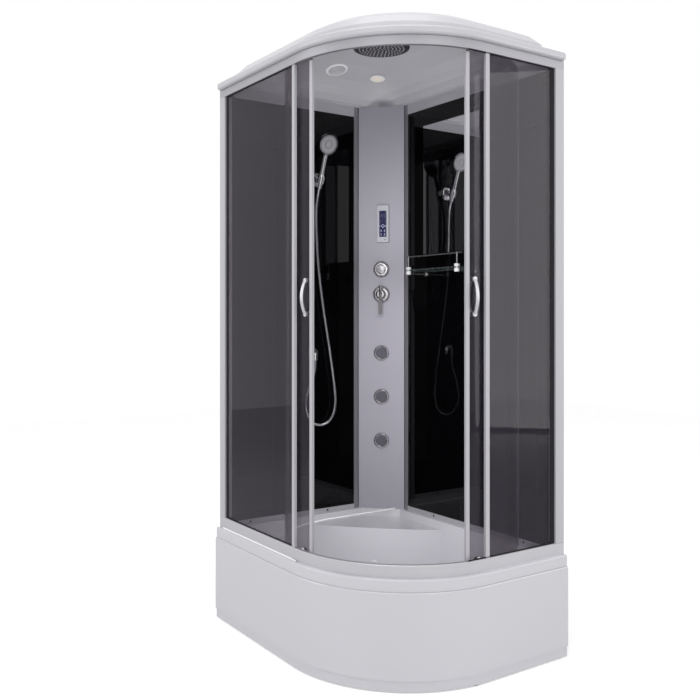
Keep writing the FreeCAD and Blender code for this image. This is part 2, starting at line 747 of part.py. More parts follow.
def make_leading_profile(side):
    """Profile on the leading edge with a magnetic strip let into its nose."""
    r0, r1 = door_middle_radius - leading_depth / 2, door_middle_radius + leading_depth / 2
    m0, m1 = door_middle_radius - magnet_width / 2, door_middle_radius + magnet_width / 2
    low, top = door_bottom_z + 6, top_rail_z - 4
    bar = arc_band(r0, r1, low, top, behind_lead(side, 0), behind_lead(side, lead_degrees(leading_width)))
    glass_slot = arc_band(door_inner_radius - 0.15, door_outer_radius + 0.15, low - 1, top + 1,
                          behind_lead(side, lead_degrees(3.7)), behind_lead(side, lead_degrees(leading_width + 1)))
    magnet_end = behind_lead(side, lead_degrees(magnet_depth))
    magnet_seat = arc_band(m0, m1, low - 1, top + 1, behind_lead(side, -0.2), magnet_end)
    magnet = arc_band(m0, m1, low, top, behind_lead(side, -0.12), magnet_end)
    return group([bar.cut(glass_slot).cut(magnet_seat), magnet])


def make_handle(side):
    """Bow handles outside and inside, bolted together through the glass."""
    place = behind_lead(side, handle_angle_deg)
    out = outward(place)
    half = handle_spacing / 2
    bows = []
    for sign, face in ((1, door_outer_radius), (-1, door_inner_radius)):
        direction = out * sign
        middle = on_front(place, face, handle_z) + direction * (handle_rise - handle_radius)
        ends = [on_front(place, face, handle_z + k * half) + direction * 5 for k in (-1, 1)]
        arc = Part.Arc(ends[0], middle, ends[1])
        section = Part.Wire(Part.makeCircle(handle_radius, ends[0], V(*arc.tangent(arc.FirstParameter)[0])))
        bows.append(Part.Wire(arc.toShape()).makePipeShell([section], True, False))
        for k in (-1, 1):
            foot = on_front(place, face, handle_z + k * half) + direction * running_gap
            bows.append(rod(foot, direction, 7, handle_radius + 2.5))
    bolts = []
    for k in (-1, 1):
        centre = on_front(place, door_inner_radius, handle_z + k * half)
        bolts.append(rod(centre - out * 3, out, door_glass + 6, 2.8))
    return bows[0].multiFuse(bows[1:] + bolts)


def make_hangers(side):
    """Two clips on the top edge of the glass with roller axles, and the bottom guide's arm and cap."""
    pieces = []
    half = hanger_length_deg / 2
    for angle in roller_angles_deg:
        place = behind_lead(side, angle)
        clip = arc_band(door_inner_radius - 2.7, door_outer_radius + 2.5, door_top_z - 11, roller_axis_z + 5,
                        place - half, place + half)
        clip = clip.cut(arc_band(door_inner_radius - 0.15, door_outer_radius + 0.15, door_top_z - 12, door_top_z + 0.2,
                                 place - half - 1, place + half + 1))
        clip = clip.fuse(rod(on_front(place, door_outer_radius, roller_axis_z), outward(place),
                             3.8 + roller_width + 2, axle_radius))
        pieces.append(clip)
    place = behind_lead(side, guide_angle_deg)
    out = outward(place)
    plate_z = guide_axis_z + 20
    arm = arc_band(door_inner_radius - 3.0, door_inner_radius - 0.2, guide_axis_z - 3.5, plate_z + 9,
                   place - 1.4, place + 1.4)
    cap = turned([(0, guide_cap_radius), (1.6, guide_cap_radius), (2.8, 7), (3.0, 0)],
                 on_front(place, door_outer_radius + 0.2, plate_z), out)
    bolt = rod(on_front(place, door_inner_radius - 2.5, plate_z), out, door_glass + 4, 3.6)
    axle = rod(on_front(place, door_inner_radius - 2.5, guide_axis_z), -out, 2.5 + guide_width + 0.4, axle_radius)
    pieces.append(arm.fuse(bolt).fuse(cap).fuse(axle))
    return group(pieces)


def make_wheel(start, direction, radius, wide):
    """Tyred roller with a hub."""
    outline = [(0, radius - 1.0), (1.0, radius), (wide - 1.0, radius), (wide, radius - 1.0)]
    wheel = turned(outline, start, direction)
    return wheel.cut(rod(start - direction, direction, wide + 2, axle_radius + axle_gap))


for name, side in SIDES.items():
    parts[name + "_door_glass"] = make_door_glass(side)
    parts[name + "_door_profile"] = make_leading_profile(side)
    parts[name + "_door_handle"] = make_handle(side)
    parts[name + "_door_hangers"] = make_hangers(side)
    for which, angle in zip(("front", "rear"), roller_angles_deg):
        place = behind_lead(side, angle)
        parts[name + "_" + which + "_roller"] = make_wheel(
            on_front(place, door_outer_radius + 3.8, roller_axis_z), outward(place), roller_radius, roller_width)
    place = behind_lead(side, guide_angle_deg)
    parts[name + "_guide_roller"] = make_wheel(
        on_front(place, door_inner_radius - 3.3, guide_axis_z), -outward(place), guide_radius, guide_width)


# ------------------------------------------------------------------ fittings
def make_valve_bodies():
    """Brass bodies behind the column, joined by their link pipe."""
    pieces = []
    for z, neck in ((mixer_z, 23.0), (diverter_z, 19.0)):
        pieces.append(rod(on_column(0, z, -45), facing, 43, neck))
        pieces.append(rod(on_column(-34, z, -30), across, 68, 11.0))
    pieces.append(rod(on_column(0, mixer_z, -30), UP, diverter_z - mixer_z, 8.0))
    hot, cold = on_column(-34, mixer_z, -30), on_column(34, mixer_z, -30)
    for inlet, direction, reach in ((hot, -X, inlet_run(hot, -X)), (cold, Y, inlet_run(cold, Y))):
        pieces.append(Part.makeSphere(11.0, inlet))
        pieces.append(rod(inlet, direction, reach, inlet_radius))
        pieces.append(rod(inlet + direction * 20, direction, reach - inlet_length - 20, inlet_radius + 3.1))
    return pieces[0].multiFuse(pieces[1:])


def inlet_run(place, direction):
    """Distance from a place behind the column to the back of the cabin."""
    return place.x + half_w if direction.x < 0 else half_d - place.y


parts["valve_bodies"] = make_valve_bodies()


def make_escutcheon(z, radius, opening):
    outline = [(0, opening), (0, radius), (2.0, radius), (plate_thickness - 2, radius - 3), (plate_thickness, radius - 7),
               (plate_thickness, opening)]
    face = Part.Face(Part.makePolygon([V(r, 0, a) for a, r in outline + outline[:1]]))
    ring = face.revolve(V(0, 0, 0), UP, 360)
    ring.Placement = FreeCAD.Placement(on_column(0, z), FreeCAD.Rotation(UP, facing))
    return ring


parts["valve_escutcheons"] = group([
    make_escutcheon(mixer_z, mixer_plate_radius, cap_radius + 0.6),
    make_escutcheon(diverter_z, diverter_plate_radius, knob_radius - 4)])

lever_root_radius = 6.5
lever_pivot_out = cap_length - 8.0


def make_mixer_cap():
    """Dome that turns for temperature, slotted at the front for the lever."""
    dome = turned([(0, cap_radius), (cap_length - 8, cap_radius), (cap_length - 3, cap_radius - 2.5),
                   (cap_length, cap_radius - 8)], on_column(0, mixer_z, -1.5), facing)
    slot_half = lever_width / 2 + running_gap
    slot = column_slab(-slot_half, slot_half, mixer_z - cap_radius - 2, mixer_z + lever_root_radius + 1.5,
                       lever_pivot_out - lever_root_radius - 0.5, cap_length + 5)
    dome = dome.cut(slot)
    return dome.fuse(rod(on_column(-cap_radius + 4, mixer_z, lever_pivot_out), across, 2 * cap_radius - 8, 2.0))


parts["mixer_cap"] = make_mixer_cap()


def make_lever():
    """Slim lever hanging from its pivot in the cap, flared at the tip."""
    root = rod(on_column(-lever_width / 2, mixer_z, lever_pivot_out), across, lever_width, lever_root_radius)
    neck = column_slab(-lever_width / 2, lever_width / 2, mixer_z - cap_radius - 4, mixer_z,
                       lever_pivot_out + 0.5, lever_pivot_out + lever_root_radius)
    half, tip = lever_width / 2, lever_width / 2 + 1
    top_z, tip_z = mixer_z - cap_radius - 4, mixer_z - lever_length
    out0, out1 = lever_pivot_out + 0.5, lever_pivot_out + lever_root_radius
    upper = Part.makePolygon([on_column(o, top_z, d) for o, d in
                              ((-half, out0), (half, out0), (half, out1), (-half, out1), (-half, out0))])
    lower = Part.makePolygon([on_column(o, tip_z, d) for o, d in
                              ((-tip, out0 + 7), (tip, out0 + 7), (tip, out1 + 5), (-tip, out1 + 5), (-tip, out0 + 7))])
    blade = Part.makeLoft([upper, lower], True, True)
    lever = root.fuse(neck).fuse(blade)
    return lever.cut(rod(on_column(-cap_radius, mixer_z, lever_pivot_out), across, 2 * cap_radius, 2.0 + axle_gap))


parts["mixer_lever"] = make_lever()


def make_diverter_knob():
    outline = [(0, knob_radius), (knob_length - 4, knob_radius - 1), (knob_length - 1, knob_radius - 3),
               (knob_length, knob_radius - 6), (knob_length + 1.5, 0)]
    knob = turned(outline, on_column(0, diverter_z, plate_thickness + running_gap), facing)
    for k in range(12):
        a = 2 * math.pi * k / 12
        notch = on_column(0, diverter_z, plate_thickness - 1) + across * (knob_radius * math.cos(a)) \
            + UP * (knob_radius * math.sin(a))
        knob = knob.cut(rod(notch, facing, knob_length - 6, 1.6))
    spindle = rod(on_column(0, diverter_z, -1), facing, plate_thickness + 4, 8.0)
    return knob.fuse(spindle)


parts["diverter_knob"] = make_diverter_knob()


def make_jet_housing(z):
    """Ring on the face of the column with a cup and a hose tail behind it."""
    bore = jet_ball_radius + jet_ball_gap
    ring = turned([(0.2, jet_ring_radius), (2.5, jet_ring_radius), (jet_ring_thickness - 1, jet_ring_radius - 2),
                   (jet_ring_thickness, bore + 0.8), (jet_ring_thickness, 0)], on_column(0, z), facing)
    cup = rod(on_column(0, z, -jet_cup_depth), facing, jet_cup_depth + 2, bore + 2.0)
    tail = rod(on_column(0, z, -jet_cup_depth - 8), facing, 9, service_radius)
    hollow = rod(on_column(0, z, -jet_cup_depth + 3), facing, jet_cup_depth + 20, bore)
    pin_way = rod(on_column(-bore - 1.95, z), across, 2 * bore + 3.9, jet_pin_radius + axle_gap)
    return ring.fuse(cup).cut(hollow).cut(pin_way).fuse(tail)


def make_jet_nozzle(z):
    """Slice of a ball with a flat face, which swivels in its ring."""
    reach = 9.0
    outline = [(out, math.sqrt(jet_ball_radius ** 2 - out ** 2)) for out in (-reach, -reach / 2, 0, reach / 2, reach)]
    half_pin = jet_ball_radius + jet_ball_gap + 1.8
    pin = rod(on_column(-half_pin, z), across, 2 * half_pin, jet_pin_radius)
    return turned(outline, on_column(0, z), facing).fuse(pin)


def make_jet_housings():
    """The three housings on their common feed pipe behind the column."""
    low, top = min(jet_heights.values()) - service_radius, mixer_z - 23.2
    feed = rod(on_column(0, low, -jet_cup_depth - 8), UP, top - low, service_radius)
    return feed.multiFuse([make_jet_housing(z) for z in jet_heights.values()])


parts["jet_housings"] = make_jet_housings()
for name, z in jet_heights.items():
    parts[name + "_jet_nozzle"] = make_jet_nozzle(z)


def make_bezel():
    half_x, half_z = bezel_width / 2, bezel_height / 2
    frame = column_slab(bezel_offset - half_x, bezel_offset + half_x, bezel_z - half_z, bezel_z + half_z,
                        0, bezel_thickness)
    frame = frame.makeFillet(3.0, [e for e in frame.Edges if e.CenterOfMass.sub(on_column(
        bezel_offset, e.CenterOfMass.z, e.CenterOfMass.sub(column_middle).dot(facing))).Length > half_x - 0.1
        and e.Length < bezel_thickness + 0.1])
    recess = column_slab(bezel_offset - screen_width / 2 - 0.2, bezel_offset + screen_width / 2 + 0.2,
                         bezel_z - screen_height / 2 - 0.2, bezel_z + screen_height / 2 + 0.2,
                         bezel_thickness - 2.4, bezel_thickness + 1)
    back = column_slab(bezel_offset - 16, bezel_offset + 16, bezel_z - 56, bezel_z + 56, -16, 1)
    return frame.fuse(back).cut(recess)


parts["control_bezel"] = make_bezel()
parts["control_display"] = column_slab(
    bezel_offset - screen_width / 2, bezel_offset + screen_width / 2,
    bezel_z - screen_height / 2, bezel_z + screen_height / 2, bezel_thickness - 2.4, bezel_thickness - 0.6)


# --------------------------------------------------------------- hand shower
lean = FreeCAD.Rotation(Y, shower_lean_deg)
shower_up = lean.multVec(UP)
shower_out = lean.multVec(X)
pivot_at = socket_at - shower_out * pivot_back
wall_fitting_x = wall_face_x


def along_shower(distance, out=0.0):
    return socket_at + shower_up * distance + shower_out * out


def make_wall_fittings():
    """The hand shower's clevis bracket and the hose's outlet elbow."""
    plate_half, cheek = 13.0, 12.0
    bracket = box(wall_fitting_x, wall_fitting_x + 5, pivot_at.y - 19, pivot_at.y + 19, pivot_at.z - 32, pivot_at.z + 22)
    bracket = bracket.makeFillet(8.0, [e for e in bracket.Edges if abs(e.BoundBox.XLength - 5) < 0.1])
    for sign in (-1, 1):
        y0 = pivot_at.y + sign * (plate_half + 2.5) - 2.5
        cheek_block = box(wall_fitting_x + 4, pivot_at.x, y0, y0 + 5, pivot_at.z - cheek + 2, pivot_at.z + cheek - 2)
        end = rod(V(pivot_at.x, y0, pivot_at.z), Y, 5, cheek)
        bracket = bracket.fuse(cheek_block).fuse(end)
    bracket = bracket.fuse(rod(V(pivot_at.x, pivot_at.y - plate_half - 1, pivot_at.z), Y, 2 * plate_half + 2, pivot_radius))
    outlet = turned([(0, 24), (3, 24), (6, 12), (12, 11)], V(wall_fitting_x, outlet_y, outlet_z), X)
    elbow_x = wall_fitting_x + hose_stand_off
    outlet = outlet.fuse(rod(V(wall_fitting_x + 8, outlet_y, outlet_z), X, hose_stand_off - 8, 9.0))
    outlet = outlet.fuse(Part.makeSphere(9.0, V(elbow_x, outlet_y, outlet_z)))
    outlet = outlet.fuse(rod(V(elbow_x, outlet_y, outlet_z), -UP, 24, 9.0))
    outlet = outlet.fuse(rod(V(wall_fitting_x - outlet_tail, outlet_y, outlet_z), X, outlet_tail + 4, 9.0))
    return group([bracket, outlet])


def make_cradle():
    """Drum on the bracket's pin with a split socket for the handset."""
    drum_half = 12.7
    socket = turned([(-14, 15.5), (14, 15.5)], socket_at, shower_up)
    drum = rod(V(pivot_at.x, pivot_at.y - drum_half, pivot_at.z), Y, 2 * drum_half, 9.0)
    web = Part.makeBox(pivot_back, 16, 14, V(0, -8, -7))
    web.Placement = FreeCAD.Placement(pivot_at, lean)
    cradle = socket.fuse(drum).fuse(web)
    cradle = cradle.cut(turned([(-15, handset_radius + 1.3), (15, handset_radius + 1.3)], socket_at, shower_up))
    return cradle.cut(rod(V(pivot_at.x, pivot_at.y - 20, pivot_at.z), Y, 40, pivot_radius + axle_gap))


def make_handset():
    """Tapered handle that swells into a round head, with the hose nut below."""
    low, head = -handset_bottom, handset_length - handset_bottom
    handle = turned([(low - hose_nut_length, hose_radius + 1.5), (low - hose_nut_length + 3, 9.5), (low - 1, 10.0),
                     (low, handset_radius), (14, handset_radius + 1.0), (20, handset_radius - 0.5),
                     (60, 9.0), (head - 45, 9.5), (head - 25, 11.5), (head - 5, 9.0)], socket_at, shower_up)
    shell = turned([(-14, 0), (-13, 12), (-9, 24), (-3, 33), (3, 38), (5, head_radius), (9, head_radius),
                    (9, face_radius + 0.3), (6, face_radius + 0.3), (6, 0)], along_shower(head), shower_out)
    seat = rod(along_shower(head, 6), shower_out, 10, face_radius + running_gap)
    return handle.fuse(shell).cut(seat)


parts["shower_wall_fittings"] = make_wall_fittings()
parts["shower_cradle"] = make_cradle()
parts["hand_shower"] = make_handset()
parts["spray_face"] = turned([(6, face_radius), (9, face_radius), (10, face_radius - 3), (10, 0)],
                             along_shower(handset_length - handset_bottom), shower_out)

hose_start = along_shower(-handset_bottom - hose_nut_length)
hose_x = wall_face_x + hose_stand_off
hose_points = [
    hose_start, hose_start - shower_up * 36, V(hose_x - 3, 19, 1553), V(hose_x - 1, 21, 1470), V(hose_x - 2, 27, 1370),
    V(hose_x - 1, 39, 1262), V(hose_x - 2, 57, 1150), V(hose_x - 1, 77, 1040), V(hose_x - 2, 96, 930),
    V(hose_x - 1, 109, 842), V(hose_x, 113, 772), V(hose_x - 1, 92, 716), V(hose_x, 42, 695), V(hose_x - 1, -8, 714),
    V(hose_x, -31, 766), V(hose_x - 1, -26, 820), V(hose_x, -8, 868), V(hose_x, 8, 902), V(hose_x, outlet_y, 934),
    V(hose_x, outlet_y, outlet_z - 24)]
hose, hose_length, hose_radii = pipe(hose_points, hose_radius)
parts["shower_hose"] = hose
hose_volume = math.pi * hose_radius ** 2 * hose_length
print("hose: length %.0f, volume ratio %.4f" % (hose_length, hose.Volume / hose_volume))
print("hose radii:", [round(r) for r in hose_radii])


# --------------------------------------------------------------------- steam
def make_steam_outlet():
    """Rosette on the seat's front wall, with a deflector over its mouth."""
    start = steam_place()
    bezel = turned([(0.3, steam_outlet_radius), (3, steam_outlet_radius), (6, steam_outlet_radius - 6), (6, 0)],
                   start, facing)
    tail = rod(start - facing * 30, facing, 31, steam_tail_radius)
    mouth = rod(start - facing * 29, facing, 40, steam_tail_radius - 2)
    hood = turned([(9, 12), (11, 12), (12, 9), (12, 0)], start, facing)
    struts = [rod(start + across * (9 * s) + facing * 5, facing, 5, 1.6) for s in (-1, 1)]
    return bezel.fuse(tail).cut(mouth).fuse(hood).multiFuse(struts)


parts["steam_outlet"] = make_steam_outlet()

def make_steam_generator():
    """Slim upright boiler in the corner behind the column, below the lowest jet."""
    low, top = rim_top_z + 14, rim_top_z + 214
    boiler = turned([(low, 36), (low + 4, 40), (top, 40), (top + 6, 34), (top + 10, 12), (top + 20, 12)],
                    boiler_at, UP)
    foot = box(boiler_at.x - 30, boiler_at.x + 30, boiler_at.y - 30, boiler_at.y + 30, rim_top_z, low + 1)
    drain_way = rod(boiler_at + UP * (rim_top_z - 1), UP, 16, service_radius + 1)
    return boiler.fuse(foot).cut(drain_way)


parts["steam_generator"] = make_steam_generator()


def make_service_pipes():
    """Steam pipe down to the seat's front wall, and the hose's supply behind the side wall."""
    steam_end = steam_place() - facing * 30
    corner = V(boiler_at.x, boiler_at.y, steam_outlet_z)
    steam, _, _ = pipe([boiler_at + UP * (rim_top_z + 14), corner, steam_end], service_radius, 30.0)
    start = on_column(-30, mixer_z - 11.1, -30)
    run_x = wall_face_x - outlet_tail + service_radius
    run_z = jet_heights["upper"] + 75
    supply, _, _ = pipe([start, V(start.x, start.y, run_z), V(run_x, start.y, run_z), V(run_x, outlet_y, run_z),
                         V(run_x, outlet_y, outlet_z + 9.2)], service_radius, 20.0)
    return group([steam, supply])


parts["service_pipes"] = make_service_pipes()


# ---------------------------------------------------------------------- roof
# Outlines of the vault from its foot to its top: inset, height and rounding of the square corners.
dome_levels = [(40, 2012, 30), (48, 2042, 36), (70, 2068, 44), (110, 2089, 54), (215, 2119, 60),
               (320, roof_top_z, 30)]
slope_start, slope_end = dome_levels[3], dome_levels[4]      # the speaker and the lamp lie between these


def dome(shrink):
    """Vault through rounded outlines that draw in as they rise."""
    return Part.makeLoft([plan_wire(inset + shrink, z - shrink, inset + shrink, rounding)
                          for inset, z, rounding in dome_levels], True, True)


def make_roof():
    lip_top = roof_lip_z + roof_lip_height
    lip = plan_prism(-roof_overhang, roof_lip_z, lip_top, 0, 14.0)
    lip = lip.makeFillet(9.0, [e for e in lip.Edges if e.BoundBox.ZLength < 0.1])
    recess = plan_prism(frame_inset - 1.5, roof_lip_z - 1, frame_top_z, -5.0)
    hollow = plan_prism(roof_flange_inset + 1, frame_top_z - 1, dome_levels[0][1] + 1, 30.0)
    roof = lip.fuse(dome(0)).cut(recess).cut(dome(roof_wall)).cut(hollow)
    roof = roof.cut(rod(V(rain_x, rain_y, rain_z), UP, height - rain_z, rain_neck_radius + 0.4))
    for place, direction, radius in (speaker_place, lamp_place):
        roof = roof.cut(rod(place - direction * 20, direction, 40, radius + 0.4))
    return roof


def ceiling_place(distance, start, end, outward_of_wall, along_wall):
    """Point on the vault's underside and the direction into the cabin, on a slope between two levels."""
    (d0, z0), (d1, z1) = start, end
    slope = math.atan2(z1 - z0, d1 - d0)
    z = z0 + (distance - d0) * math.tan(slope)
    place = along_wall + outward_of_wall * distance + UP * z
    return place, outward_of_wall * math.sin(slope) - UP * math.cos(slope)


def straight_level(level):
    return level[0] + roof_wall, level[1] - roof_wall


def corner_level(level):
    """The same on the diagonal, where the rounding draws the outline in."""
    return (level[0] + roof_wall + level[2] * (1 - math.sqrt(0.5))) * math.sqrt(2), level[1] - roof_wall


speaker_place = (*ceiling_place(speaker_inset, straight_level(slope_start), straight_level(slope_end),
                                X, V(-half_w, speaker_y, 0)), speaker_radius - 12)
lamp_place = (*ceiling_place(lamp_inset * math.sqrt(2), corner_level(slope_start), corner_level(slope_end),
                             facing, V(-half_w, half_d, 0)), lamp_radius - 6)
parts["roof_shell"] = make_roof()


def make_rain_head():
    """Flat round head on a neck that is nutted through the roof."""
    ceiling = roof_top_z - roof_wall - rain_z
    plate = turned([(0, 10), (0, 94), (1.5, 99), (4, rain_radius), (7, rain_radius), (10, 94), (13, 40), (18, 22),
                    (24, 12), (26, rain_neck_radius), (ceiling - 10, rain_neck_radius), (ceiling - 8, 26),
                    (ceiling - 0.3, 28), (ceiling - 0.3, rain_neck_radius), (height - rain_z, rain_neck_radius)],
                   V(rain_x, rain_y, rain_z), UP)
    return plate.fuse(hexagon(V(rain_x, rain_y, roof_top_z + 0.3), 17.0, 8.0))


parts["rain_head"] = make_rain_head()


def make_speaker():
    """Round speaker with a ring, a dished cone and a magnet above the roof."""
    place, into, radius = speaker_place
    return turned([(-14, 18), (-13, 22), (-6, 22), (-5, radius), (0.5, radius), (0.5, speaker_radius),
                   (2.5, speaker_radius), (5, speaker_radius - 4), (5, radius + 1), (2, radius - 3), (0, 12),
                   (1.5, 9), (3, 0)], place, into)


def make_lamp():
    place, into, radius = lamp_place
    return turned([(-10, radius - 6), (-9, radius), (2.3, radius), (2.3, lamp_radius), (4.3, lamp_radius),
                   (6.3, lamp_radius - 4), (6.3, radius - 2), (7.5, 8), (8, 0)], place, into)


parts["speaker"] = make_speaker()
parts["ceiling_lamp"] = make_lamp()

os.makedirs("parts", exist_ok=True)
for name, shape in parts.items():
    if not shape.isValid():
        print("INVALID", name)
    shape.exportStep("parts/" + name + ".step")
    print(name, len(shape.Solids), round(shape.Volume / 1000, 1))
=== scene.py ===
# %% [markdown]
# # A steam shower cabin
# The frame gives every rigid part of the cabin: tray, glass, rails, column and fittings.
# This lesson gives those parts their finishes and adds the small pieces that make a cabin
# look real: the ribbed hose, rubber nozzles, seals, screw caps and the figures on the display.
# Some black seals also paint the shade in the cabin's joints, and a white bead paints the
# highlight on the tray's rim.

import math

import bmesh
import bpy
from mathutils import Matrix, Vector


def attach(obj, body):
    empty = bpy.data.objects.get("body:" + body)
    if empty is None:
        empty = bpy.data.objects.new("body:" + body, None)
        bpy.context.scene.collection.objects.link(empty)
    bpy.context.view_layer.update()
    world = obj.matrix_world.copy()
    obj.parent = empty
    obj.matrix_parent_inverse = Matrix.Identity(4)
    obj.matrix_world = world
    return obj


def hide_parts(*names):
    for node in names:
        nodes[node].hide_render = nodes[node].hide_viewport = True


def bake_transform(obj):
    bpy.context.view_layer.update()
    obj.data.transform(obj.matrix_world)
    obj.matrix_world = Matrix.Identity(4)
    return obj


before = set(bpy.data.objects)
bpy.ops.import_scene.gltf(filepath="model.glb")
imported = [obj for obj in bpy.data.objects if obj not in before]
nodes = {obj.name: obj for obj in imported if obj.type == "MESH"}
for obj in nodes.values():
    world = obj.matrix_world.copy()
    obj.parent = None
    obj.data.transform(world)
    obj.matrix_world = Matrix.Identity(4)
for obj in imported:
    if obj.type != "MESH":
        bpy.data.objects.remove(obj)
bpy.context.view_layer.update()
print("CAD nodes:", len(nodes))

# %% [markdown]
# The frame also says where things are. The box round a part gives its place to a hundredth of
# a millimetre, so the pieces that sit on it find it without a second set of numbers.


# %% Measuring the frame
def box_of(name):
    """Lowest and highest corner of a CAD part."""
    points = [v.co for v in nodes[name].data.vertices]
    return [tuple(round(pick(point[axis] for point in points), 5) for axis in range(3))
            for pick in (min, max)]


def middle_of_part(name):
    """Middle of the box round a CAD part."""
    return tuple(round((low + high) / 2, 5) for low, high in zip(*box_of(name)))


(left_x, front_y, _), (right_x, back_y, tray_top) = box_of("tray_shell")
print("tray: %.3f m by %.3f m, rim at %.3f m" % (right_x - left_x, back_y - front_y, tray_top))

# %% [markdown]
# ## The camera
# The photograph was taken level, at chest height, with upright lines kept upright.
# A level camera with a little lens shift gives the same view: shift slides the picture
# without turning the camera, so the posts stay parallel.

# %% Camera
CAMERA_PLACE = (2.4298, -1.8186, 1.131)
VIEW_DIRECTION = Vector((-0.8277, 0.5612, 0.0))
SENSOR_WIDTH, LENS = 36.0, 43.86                # both in millimetres
SHIFT_ACROSS, SHIFT_UP = 0.0127, -0.046         # as shares of the picture's width

camera_data = bpy.data.cameras.new("camera")
camera = bpy.data.objects.new("camera", camera_data)
bpy.context.scene.collection.objects.link(camera)
camera.location = CAMERA_PLACE
camera.rotation_euler = VIEW_DIRECTION.to_track_quat("-Z", "Y").to_euler()
camera_data.sensor_width = SENSOR_WIDTH
camera_data.lens = LENS
camera_data.shift_x = SHIFT_ACROSS
camera_data.shift_y = SHIFT_UP
bpy.context.scene.camera = camera
print("camera height: %.2f m" % camera.location.z)

# %% [markdown]
# ## The shower hose
# A metal hose is a strip wound into a fine spiral, so it shows close ribs. It leaves the
# hand shower's nut, hangs in one long slack loop and turns up into the outlet on the wall.
# A smooth spline carries its line. The ribs are real rings on a tube that follows the spline,
# because ribs that are only painted on vanish at the edge of the hose.

# %% Hose route
HOSE_DIAMETER = 0.012
RIB_PITCH = 0.003
RIB_DEPTH = 0.0005
hose_route = [
    (-0.4430, 0.022, 1.6463), (-0.4553, 0.022, 1.6125), (-0.462, 0.019, 1.553), (-0.460, 0.021, 1.470),
    (-0.461, 0.027, 1.370), (-0.460, 0.039, 1.262), (-0.461, 0.057, 1.150), (-0.460, 0.077, 1.040),
    (-0.461, 0.096, 0.930), (-0.460, 0.109, 0.842), (-0.459, 0.113, 0.772), (-0.460, 0.092, 0.716),
    (-0.459, 0.042, 0.695), (-0.460, -0.008, 0.714), (-0.459, -0.031, 0.766), (-0.460, -0.026, 0.820),
    (-0.459, -0.008, 0.868), (-0.459, 0.008, 0.902), (-0.459, 0.014, 0.934), (-0.459, 0.014, 0.961)]
print("route points:", len(hose_route))


# %% Points on the hose's line
def spline_points(route, name):
    """Close points on the smooth line that a route steers."""
    curve = bpy.data.curves.new(name, "CURVE")
    curve.dimensions = "3D"
    curve.resolution_u = 24
    spline = curve.splines.new("NURBS")
    spline.points.add(len(route) - 1)
    for point, place in zip(spline.points, route):
        point.co = (*place, 1.0)
    spline.order_u = 3
    spline.use_endpoint_u = True
    holder = bpy.data.objects.new(name, curve)
    bpy.context.scene.collection.objects.link(holder)
    bpy.context.view_layer.update()
    line = bpy.data.meshes.new_from_object(holder)
    points = [v.co.copy() for v in line.vertices]
    bpy.data.objects.remove(holder)
    bpy.data.meshes.remove(line)
    return points


def even_points(points, step):
    """The same line with its points one step apart, and its length."""
    lengths = [0.0]
    for a, b in zip(points, points[1:]):
        lengths.append(lengths[-1] + (b - a).length)
    count = max(2, round(lengths[-1] / step))
    placed, k = [], 0
    for i in range(count + 1):
        want = lengths[-1] * i / count
        while k < len(points) - 2 and lengths[k + 1] < want:
            k += 1
        share = (want - lengths[k]) / max(lengths[k + 1] - lengths[k], 1e-9)
        placed.append(points[k].lerp(points[k + 1], share))
    return placed, lengths[-1]


hose_line, hose_length = even_points(spline_points(hose_route, "hose_line"), RIB_PITCH / 2)
print("hose length: %.3f m" % hose_length)

# %% [markdown]
# Each point of the line gets a ring of corners. Rings are wide and narrow in turn, which makes
# the ribs.


# %% Ribbed tube
def ribbed_tube(name, points, radius, rib_depth, sides=20):
    """Tube of rings whose radius goes up and down, closed at both ends."""
    mesh = bmesh.new()
    rings, side = [], None
    for i, place in enumerate(points):
        before, after = points[max(i - 1, 0)], points[min(i + 1, len(points) - 1)]
        along = (after - before).normalized()
        if side is None:
            side = along.orthogonal().normalized()
        side = (side - along * side.dot(along)).normalized()
        other = along.cross(side)
        ring_radius = radius - (rib_depth if i % 2 else 0.0)
        rings.append([mesh.verts.new(place + (side * math.cos(a) + other * math.sin(a)) * ring_radius)
                      for a in (2 * math.pi * k / sides for k in range(sides))])
    for low, high in zip(rings, rings[1:]):
        for k in range(sides):
            mesh.faces.new((low[k], low[(k + 1) % sides], high[(k + 1) % sides], high[k]))
    mesh.faces.new(reversed(rings[0]))
    mesh.faces.new(rings[-1])
    data = bpy.data.meshes.new(name)
    bmesh.ops.recalc_face_normals(mesh, faces=mesh.faces)
    mesh.to_mesh(data)
    mesh.free()
    tube = bpy.data.objects.new(name, data)
    bpy.context.scene.collection.objects.link(tube)
    return tube


hose = ribbed_tube("hose_tube", hose_line, HOSE_DIAMETER / 2, RIB_DEPTH)
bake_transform(hose)
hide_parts("shower_hose")
print("rings on the hose:", len(hose_line))

# %% [markdown]
# ## Finishes
# A finish is a small node tree: a colour that varies a little, a roughness that varies a
# little, and a fine bump. All patterns read Object coordinates, so they stay on the part when
# it moves and do not depend on how its surface is unfolded.

# %% Finish helper
GRAIN_DETAIL = 3.0
COAT_ROUGHNESS = 0.05
BUMP_HEIGHT = 0.0005


def even(scale):
    """Grain of the same scale in every direction."""
    return scale, scale, scale


